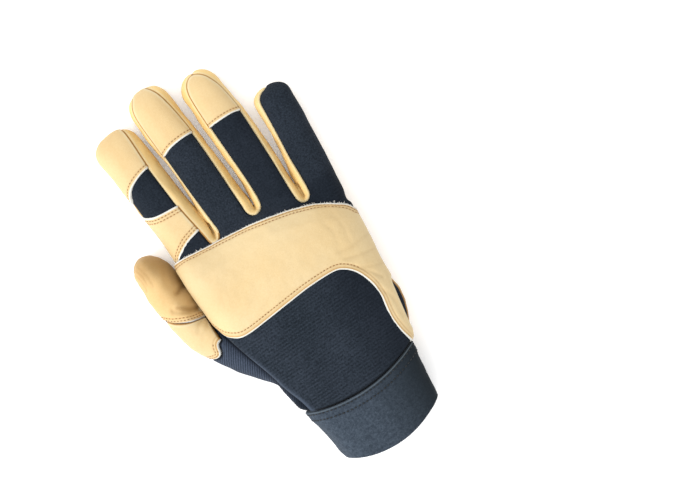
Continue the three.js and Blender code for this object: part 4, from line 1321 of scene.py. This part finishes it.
def strap_folds(p, e):
    s = 0.30 * waves(p, 42, 63) + 0.10 * waves(p, 12, 64) + 0.035 * waves(p, 4.5, 65)
    return (s + creases(p[:, 0], p[:, 1], STRAP_CREASES)) * smoothstep(0.3, 4, e)


def strap_shade(p):
    """Painted shade: a little by the index finger and round the little-finger side, and in the tail's
    creases.
    """
    x, y = p[:, 0], p[:, 1]
    out = 0.12 * smoothstep(-12, -36, x) * smoothstep(8, 26, y) + 0.06 * smoothstep(40, 58, x)
    return out - creases(x, y, TAIL_CREASES, 0.6, 0.2)


def strap_rim(p):
    """The pale cut side shows narrower towards the wrist."""
    return 1 + 0.55 * smoothstep(25, 14, p[:, 1])


tail = -line_distance(X, Y, smooth_curve(STRAP_TAIL, 6))
strap_side = np.minimum(np.minimum(Z - side_seam_z(X, Y) - 0.2, X + 47.0), np.where(Y < 0, tail, 9))
STRAP_SKIN = build_piece("strap_leather", "knuckle_strap", "grain_leather", LEATHER_STRAP,
                         field_on_skin(strap_side), raw=strap_raw, layer=1.45, thick=1.1, puff=0.35,
                         reach=2.0, extra=strap_folds, rows=(1.65, 3.3), row_name="raw", roll_in=(1.6, 1.7),
                         gap=0.05, raw_gain=strap_rim, shade=strap_shade)
LEATHER_RODS += thread_rows(STRAP_SKIN, "raw", (3.3,),
                            where=lambda p: on_top(p) and not (p[0] > 43 and p[1] < -7))
LEATHER_RODS += thread_rows(STRAP_SKIN, "raw", (1.65,), radius=0.2, where=lambda p: on_top(p) and p[1] > 18)

# Palm patches.
PATCH_TOP = 8.2
for name, ring in (("upper", UPPER_PATCH), ("heel", HEEL_PATCH)):
    raw = field_on_skin(area_distance(X, Y, smooth_curve(ring, 5, closed=True)))
    skin = build_piece(name + "_patch", "palm_patch_" + name, "patch_leather", LEATHER_PALM, PATCH_TOP - Z,
                       raw=raw, layer=1.3, thick=1.0, puff=0.05, rows=(1.5, 3.6), row_name="raw",
                       roll_in=(0.9, 0.6), no_under=False)
    PALM_RODS += thread_rows(skin, "raw", (1.5, 3.6), pitch=2.4, length=1.6)


# Cuff and tab.
CUFF_S = [0, 0.12, 0.3, 0.6, 0.9, 1]
CUFF_HALF = [39.0, 38.1, 36.3, 34.5, 33.4, 32.9]
CUFF_TOP_S = [0, 0.1, 0.3, 1]
CUFF_TOP = [34.6, 34.2, 35.2, 35.6]
CUFF_LEAN = 0.34  # lean of the crown towards the thumb
CUFF_LOW = 2.5
CUFF_WALL = 2.5
HEM_ROWS = (1.9, 6.3)  # stitch rows, from the cuff's upper edge
TAB_END_X, TAB_FAR_X, TAB_ROUND, TAB_TOP = -9.5, 43.0, 10.0, 10.5
TAB_MARGIN = 3.5
TAB_OUT, TAB_IN = 2.3, 0.25  # the tab's two faces, over the cuff


def cuff_base(around=300, along=56):
    """The cuff's outer surface as a fine grid in angle and length, with its own values."""
    ang = np.arange(around) * 2 * math.pi / around
    a, s = np.meshgrid(ang, np.linspace(0, 1, along), indexing="ij")
    ca, sa = np.cos(a), np.sin(a)
    side = np.sign(ca) * np.abs(ca) ** (2 / SIDE_POWER)
    side = side - CUFF_LEAN * (1 - side * side) * np.clip(sa, 0, 1)
    up = np.abs(sa) ** (2 / np.where(sa >= 0, CROWN_POWER, SOLE_POWER))
    half = np.interp(s, CUFF_S, CUFF_HALF)
    top = np.interp(s, CUFF_TOP_S, CUFF_TOP)
    mid = 0.5 * (CUFF_LOW + top)
    under = np.maximum(mid - (mid - CUFF_LOW + SOLE_DROP) * up, CUFF_LOW)
    z = np.where(sa >= 0, mid + (top - mid) * up, under)
    x = CENTRE_X + side * half
    cross = (x - CENTRE_X) / WRIST_HALF
    bow = CUFF_BOW + (HEM_BOW - CUFF_BOW) * s
    y = WRIST_Y - WRIST_GAP - s * CUFF_LENGTH + bow * cross ** 2
    v = np.stack([x, y, z], -1).reshape(-1, 3)
    i, j = np.meshgrid(np.arange(around), np.arange(along - 1), indexing="ij")
    p = i * along + j
    q = ((i + 1) % around) * along + j
    t = np.concatenate([
        np.stack([p, p + 1, q], -1).reshape(-1, 3), np.stack([q, p + 1, q + 1], -1).reshape(-1, 3),
    ])
    n = normals_of(v, t)
    if ((v - v.mean(0)) * n)[:, [0, 2]].sum() < 0:
        t = t[:, ::-1]
        n = -n
    return Skin(v, t, {"n": n, "run": (s * CUFF_LENGTH).reshape(-1)})


def build_cuff():
    skin = cuff_base()
    for level in (0.35, 0.8, 1.3, 1.9, 2.5, 3.2, 5.7, 6.3, 6.9):
        skin.split("run", level)
    for level in (2.0, 1.2, 0.6, 0.2):
        skin.split("run", CUFF_LENGTH - level)
    p, n, run = skin.v, skin.a["n"], skin.a["run"]
    left = CUFF_LENGTH - run
    dent = groove(run, HEM_ROWS[0], 0.5) + 0.7 * groove(run, HEM_ROWS[1], 0.6)
    swell = 0.55 * smoothstep(2.6, 6, run) * smoothstep(0, 8, left)
    swell += 0.35 * waves(p, 26, 71) * smoothstep(3, 12, run) + 0.12 * waves(p, 8, 72)
    off = roll(run, 1.3, 1.0) + roll(left, 1.5, 1.3) + smoothstep(2.6, 6, p[:, 2]) * swell - 0.4 * dent
    out = p + n * off[:, None]
    out[:, 2] = np.maximum(out[:, 2], CUFF_LOW - 0.08)
    inn = p + n * (np.minimum(off, 0.4) - CUFF_WALL)[:, None]
    values = {"dent": (np.clip(dent, 0, 1), 0.0), "edge": (run / 10, 1.0)}
    skin = close_panel("cuff_fabric", "wrist_cuff", CUFF, skin, out, inn, values)
    return thread_rows(skin, "run", HEM_ROWS, pitch=2.6, length=1.6, radius=0.36, lift=0.12)


def build_tab():
    """The tab under the wrist, with one rounded end."""
    skin = cuff_base()
    x, _, z = skin.v.T
    middle = 0.5 * CUFF_LENGTH
    across = np.clip((TAB_END_X + TAB_ROUND - x) / TAB_ROUND, 0, 1)
    limit = (middle - TAB_MARGIN) * (1 - across ** 2.6) ** (1 / 2.6)
    f = np.minimum(limit - np.abs(skin.a["run"] - middle), np.minimum(TAB_FAR_X - x, TAB_TOP - z))
    skin.a["edge"] = np.minimum(f, x - TAB_END_X)
    skin.above("edge", 0.0)
    for level in (0.3, 0.7, 1.2, 1.8, 2.4):
        skin.split("edge", level)
    p, n, e = skin.v, skin.a["n"], skin.a["edge"]
    dent = groove(e, 1.8, 0.5)
    out = p + n * (TAB_OUT + roll(e, 1.0, 0.8) - 0.25 * dent)[:, None]
    out[:, 2] = np.maximum(out[:, 2], FLOOR_GAP)
    inn = p + n * TAB_IN
    values = {"dent": (np.clip(dent, 0, 1), 0.0), "edge": (1.0, 1.0)}
    skin = close_panel("closure_tab_fabric", "closure_tab", TAB, skin, out, inn, values)
    return thread_rows(skin, "edge", (1.8,), pitch=2.3, length=1.5, radius=0.22)


DARK_RODS = build_cuff() + build_tab()


def frays(skin, level):
    """Short pale fibres standing off the cut front edge of the strap."""
    rods = []
    for chain in skin.lines("raw", level):
        p, n = skin.out[chain], skin.outn[chain]
        run = run_of(p)
        for at in np.arange(1.0, run[-1] - 1.0, 0.55):
            q = at_run(at, run, p)
            if q[1] < 18 or q[0] < -46 or q[2] < 12 or RNG.random() < 0.45 - 0.25 * (q[0] > 30):
                continue
            along = at_run(at + 0.5, run, p) - q
            up = at_run(at, run, n)
            out = unit(np.cross(up, along))
            if out[1] < 0:
                out = -out
            way = unit(out + 0.8 * RNG.normal() * unit(along) + up * RNG.uniform(-0.1, 0.5))
            size = RNG.uniform(0.5, 1.2) + (1.0 if RNG.random() < 0.14 else 0)
            middle = q + 0.5 * size * way + 0.06 * up
            rods.append((q, middle, q + size * way, up, RNG.uniform(0.08, 0.14), 0.0))
    return rods


thread_mesh("strap_edge_fibres", frays(STRAP_SKIN, RINGS[0]), FIBRE)
thread_mesh("stitches_back", LEATHER_RODS, THREAD)
thread_mesh("stitches_palm", PALM_RODS, THREAD_PALM)
thread_mesh("stitches_cuff", DARK_RODS, THREAD_DARK)


# Floor, light and camera.
FLOOR_HALF = 2500.0
FLOOR_Z = -0.05
FLOOR_GLOW = 0.17  # keeps the shadow between the fingers light
SKY_SIDE = (-0.98, -0.06, 0.18)
SKY_GAIN, SKY_LEVEL = 0.80, 1.40
KEY_PLACE = (-0.90, 0.0, 0.90)
KEY_SIZE, KEY_POWER = 0.5, 6.0
LENS, SENSOR = 100, 36
FRAME_WIDTH = 0.417  # what the picture spans at AIM_Z, in metres
AIM_X, AIM_Y, AIM_Z = 0.0454, 0.0056, 0.018
CAMERA_ROLL = -34


def floor():
    m = Nodes("studio_floor")
    m.shade(Base_Color=m.ramp(m.noise(3), (0.3, 0.93), (0.7, 0.95)), Roughness=0.9,
            Emission_Color=(1, 1, 1, 1), Emission_Strength=FLOOR_GLOW)
    m.mat.cycles.emission_sampling = "NONE"
    corners = [(a * FLOOR_HALF, b * FLOOR_HALF, FLOOR_Z) for a, b in ((-1, -1), (1, -1), (1, 1), (-1, 1))]
    new_object("floor", np.array(corners), np.array([(0, 1, 2, 3)]), m.mat, smooth=False)


def sky():
    """A wide soft light, stronger from the thumb side."""
    world = bpy.data.worlds.new("studio")
    world.use_nodes = True
    tree = world.node_tree
    co = tree.nodes.new("ShaderNodeTexCoord")
    dot = tree.nodes.new("ShaderNodeVectorMath")
    dot.operation = "DOT_PRODUCT"
    dot.inputs[1].default_value = SKY_SIDE
    tree.links.new(co.outputs["Generated"], dot.inputs[0])
    gain = tree.nodes.new("ShaderNodeMath")
    gain.operation = "MULTIPLY_ADD"
    gain.inputs[1].default_value = SKY_GAIN
    gain.inputs[2].default_value = SKY_LEVEL
    tree.links.new(dot.outputs["Value"], gain.inputs[0])
    tree.nodes["Background"].inputs[0].default_value = (1, 1, 1, 1)
    tree.links.new(gain.outputs[0], tree.nodes["Background"].inputs[1])
    bpy.context.scene.world = world


def key_lamp():
    """A square soft lamp on the thumb side, aimed at the glove."""
    data = bpy.data.lights.new("key", "AREA")
    data.shape = "SQUARE"
    data.size = KEY_SIZE
    data.energy = KEY_POWER
    obj = bpy.data.objects.new("key", data)
    bpy.context.scene.collection.objects.link(obj)
    obj.location = KEY_PLACE
    obj.rotation_euler = (-Vector(KEY_PLACE)).to_track_quat("-Z", "Y").to_euler()


def camera():
    """Straight above the glove, with its fingers to the upper left of the picture."""
    data = bpy.data.cameras.new("camera")
    data.lens = LENS
    data.sensor_width = SENSOR
    cam = bpy.data.objects.new("camera", data)
    bpy.context.scene.collection.objects.link(cam)
    cam.location = (AIM_X, AIM_Y, AIM_Z + FRAME_WIDTH * LENS / SENSOR)
    cam.rotation_euler = (0, 0, math.radians(CAMERA_ROLL))
    bpy.context.scene.camera = cam


floor()
sky()
key_lamp()
camera()
bpy.context.scene.view_settings.view_transform = "Standard"
